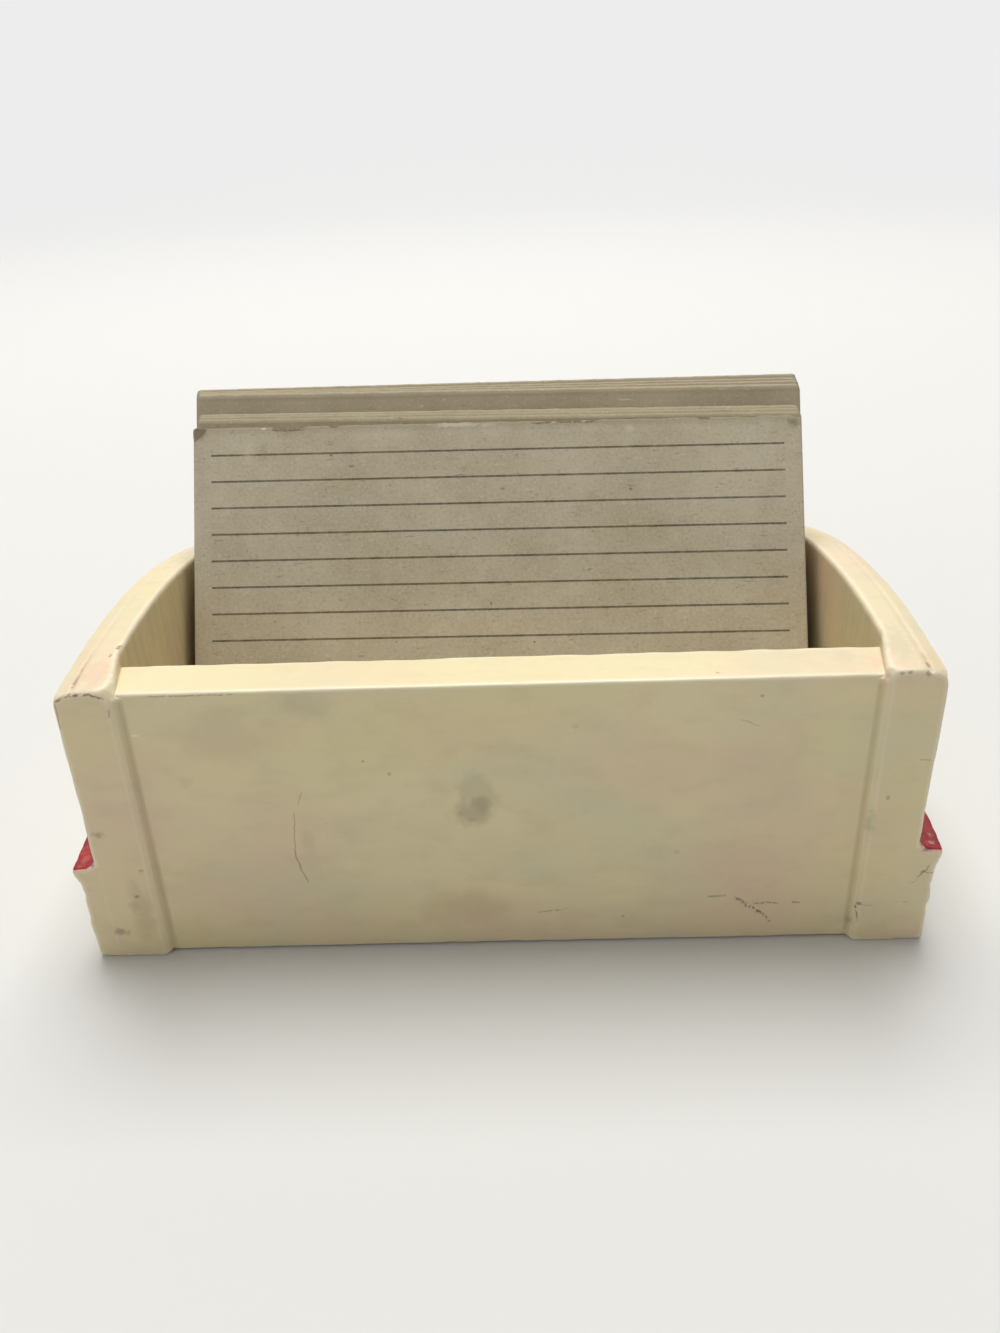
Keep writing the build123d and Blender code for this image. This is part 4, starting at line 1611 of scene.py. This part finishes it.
def corner_brads(finish: BradSteel) -> Brads:
    """The brads through the end boards into the panels' ends, placed from their node's box.

    Args:
        finish: their steel.

    Returns:
        The brads, ready to build.
    """
    low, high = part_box("corner_brads")
    head = Brads.head_radius * MM
    heights = (low.z + head, (low.z + high.z) / 2, high.z - head)
    panels = (sum(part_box("back_panel"), Vector()).y / 2, sum(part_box("front_panel"), Vector()).y / 2)
    places = [(Vector((sign * high.x, y, z)), Vector((-sign, 0, 0)))
              for sign in (-1, 1) for y in panels for z in heights]
    return Brads("corner_brads", finish, places, length=25.0)


def plinth_pins(finish: BradSteel) -> Brads:
    """The pins that hold the plinth, placed from their node's box.

    Args:
        finish: their steel.

    Returns:
        The pins, ready to build.
    """
    low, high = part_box("plinth_pins")
    board_low, board_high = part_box("right_end_board")
    margin = PIN_MARGIN * MM
    height = (low.z + high.z) / 2
    rows = (board_low.y + margin, (board_low.y + board_high.y) / 2, board_high.y - margin)
    places = [(Vector((sign * high.x, y, height)), Vector((-sign, 0, 0))) for sign in (-1, 1) for y in rows]
    inner = board_high.x - EndBoard.thickness * MM
    places += [(Vector((x, high.y, height)), Vector((0, -1, 0)))
               for x in (-inner + margin, 0.0, inner - margin)]
    return Brads("plinth_pins", finish, places, length=12.5)


def worn_board(knocks: tuple[Knock, ...]) -> Weathering:
    """The wear of an end board with its own knocks."""
    return Weathering(voxel=0.46, rounding=2, nibble=0.2, knocks=knocks)


def packets() -> list[CardPacket]:
    """The four packets of cards, with the places and counts of the construction.

    Returns:
        The packets, ready to build.
    """
    manila = KraftCard("manila_card", stock="B3A78A", dark_stock="A89B7D", worn_top="B8AA8B",
                       top_dirt_and_shade=0.28, top_wear=0.3, grain=0.6)
    rim = KraftCard("manila_card_edge", stock="CDBF9F", dark_stock="B5A685", fibre="DDD2B6")
    guide = KraftCard("manila_guide_card", stock="AFA38A", dark_stock="A2967D", worn_top="C2B493",
                      top_dirt_and_shade=0.35, top_wear=0.5, grain=0.35)
    front = KraftCard("ruled_manila_card", ruled=True, top_dirt_and_shade=0.2, marks=FRONT_CARD_MARKS)
    random.seed(SEED)
    middle = [CardPlace(height, 1.75 + 0.7 * i, 1.05 - 0.05 * i)
              for i, height in enumerate((102.0, 102.6, 103.0, 103.0))]
    flat = [CardPlace(height, 4.75 + 0.6 * i, 0.84, width=154.0)
            for i, height in enumerate((108.0, 107.8, 107.8))]
    fan = ((108.4, 0.62), (109.0, 0.46), (109.8, 0.3), (109.5, 0.26))
    fanned = [CardPlace(height, 6.85 + 0.6 * i, tilt, width=155.0) for i, (height, tilt) in enumerate(fan)]
    rear = [CardPlace(101.6 - random.uniform(0, 0.5), 9.55 + 0.71 * i, 0.3 + random.uniform(-0.15, 0.15),
                      random.uniform(-0.6, 0.6)) for i in range(28)]
    dents = (EdgeDent(-52.35, 5.0, 0.9), EdgeDent(-40.9, 2.0, 0.25), EdgeDent(17.0, 8.8, 0.3),
             EdgeDent(52.0, 1.8, 0.35), EdgeDent(63.0, 2.5, 0.3), EdgeDent(75.0, 1.4, 0.5))
    return [
        CardPacket("front_card", "front_packet", "ruled_card", [CardPlace(101.6, 0.0, 0.52)], front, rim,
                   columns=300, rows=60, dents=dents, fray=0.22, dog_ear=3.6),
        CardPacket("middle_cards", "middle_packet", "card_stock", middle, manila, rim),
        CardPacket("guide_cards", "guide_packet", "guide_stock", flat + fanned, guide, rim),
        CardPacket("rear_cards", "rear_packet", "card_stock", rear, manila, rim, columns=76, rows=12),
    ]


def main() -> None:
    """Build the box and its cards in order, and report each piece."""
    logging.basicConfig(level=logging.INFO, format="%(message)s")
    Studio().build()
    steel = BradSteel()
    smooth = Weathering(voxel=0.9, rounding=3)
    left_enamel = AgedEnamel("left_end_enamel", paint=FRAME_PAINT, marks=LEFT_MARKS, streaked_side=-1,
                             groove_worn=0.9, covered_below=COVERED_BELOW)
    right_enamel = AgedEnamel("right_end_enamel", paint=FRAME_PAINT, marks=RIGHT_MARKS, streaked_side=1,
                              groove_worn=0.35, chipped=0.35, covered_below=COVERED_BELOW)
    builders = [
        EndBoard(Side.LEFT, left_enamel, worn_board(LEFT_KNOCKS), lip_worn_back=2.0),
        EndBoard(Side.RIGHT, right_enamel, worn_board(RIGHT_KNOCKS)),
        Panel("back_panel", AgedEnamel("back_panel_enamel", marks=PANEL_MARKS, chipped=0.3)),
        Panel("front_panel", AgedEnamel("front_panel_enamel")),
        Panel("floor_panel", AgedEnamel("floor_enamel"), smooth),
        Plinth(AgedEnamel("plinth_enamel", paint=FRAME_PAINT, red_above=RED_ABOVE, marks=PLINTH_MARKS),
               Weathering(voxel=0.5, rounding=1, ripple=0.14, knocks=PLINTH_KNOCKS)),
        PackingStrip(AgedEnamel("packing_enamel", paint=FRAME_PAINT, red_above=RED_ABOVE),
                     Weathering(voxel=0.8, rounding=2)),
        corner_brads(steel),
        plinth_pins(steel),
        *packets(),
    ]
    for builder in builders:
        made = builder.build()
        for piece in made if isinstance(made, list) else [made]:
            piece.data.update()
            log.info("%s: %d faces", piece.name, len(piece.data.polygons))
    # The floor brads lie out of sight behind the plinth, so they keep the construction's own shape.
    frame["nodes"]["floor_brads"].data.materials.clear()
    frame["nodes"]["floor_brads"].data.materials.append(steel.build())


if __name__ == "__main__":
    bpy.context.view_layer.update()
    main()
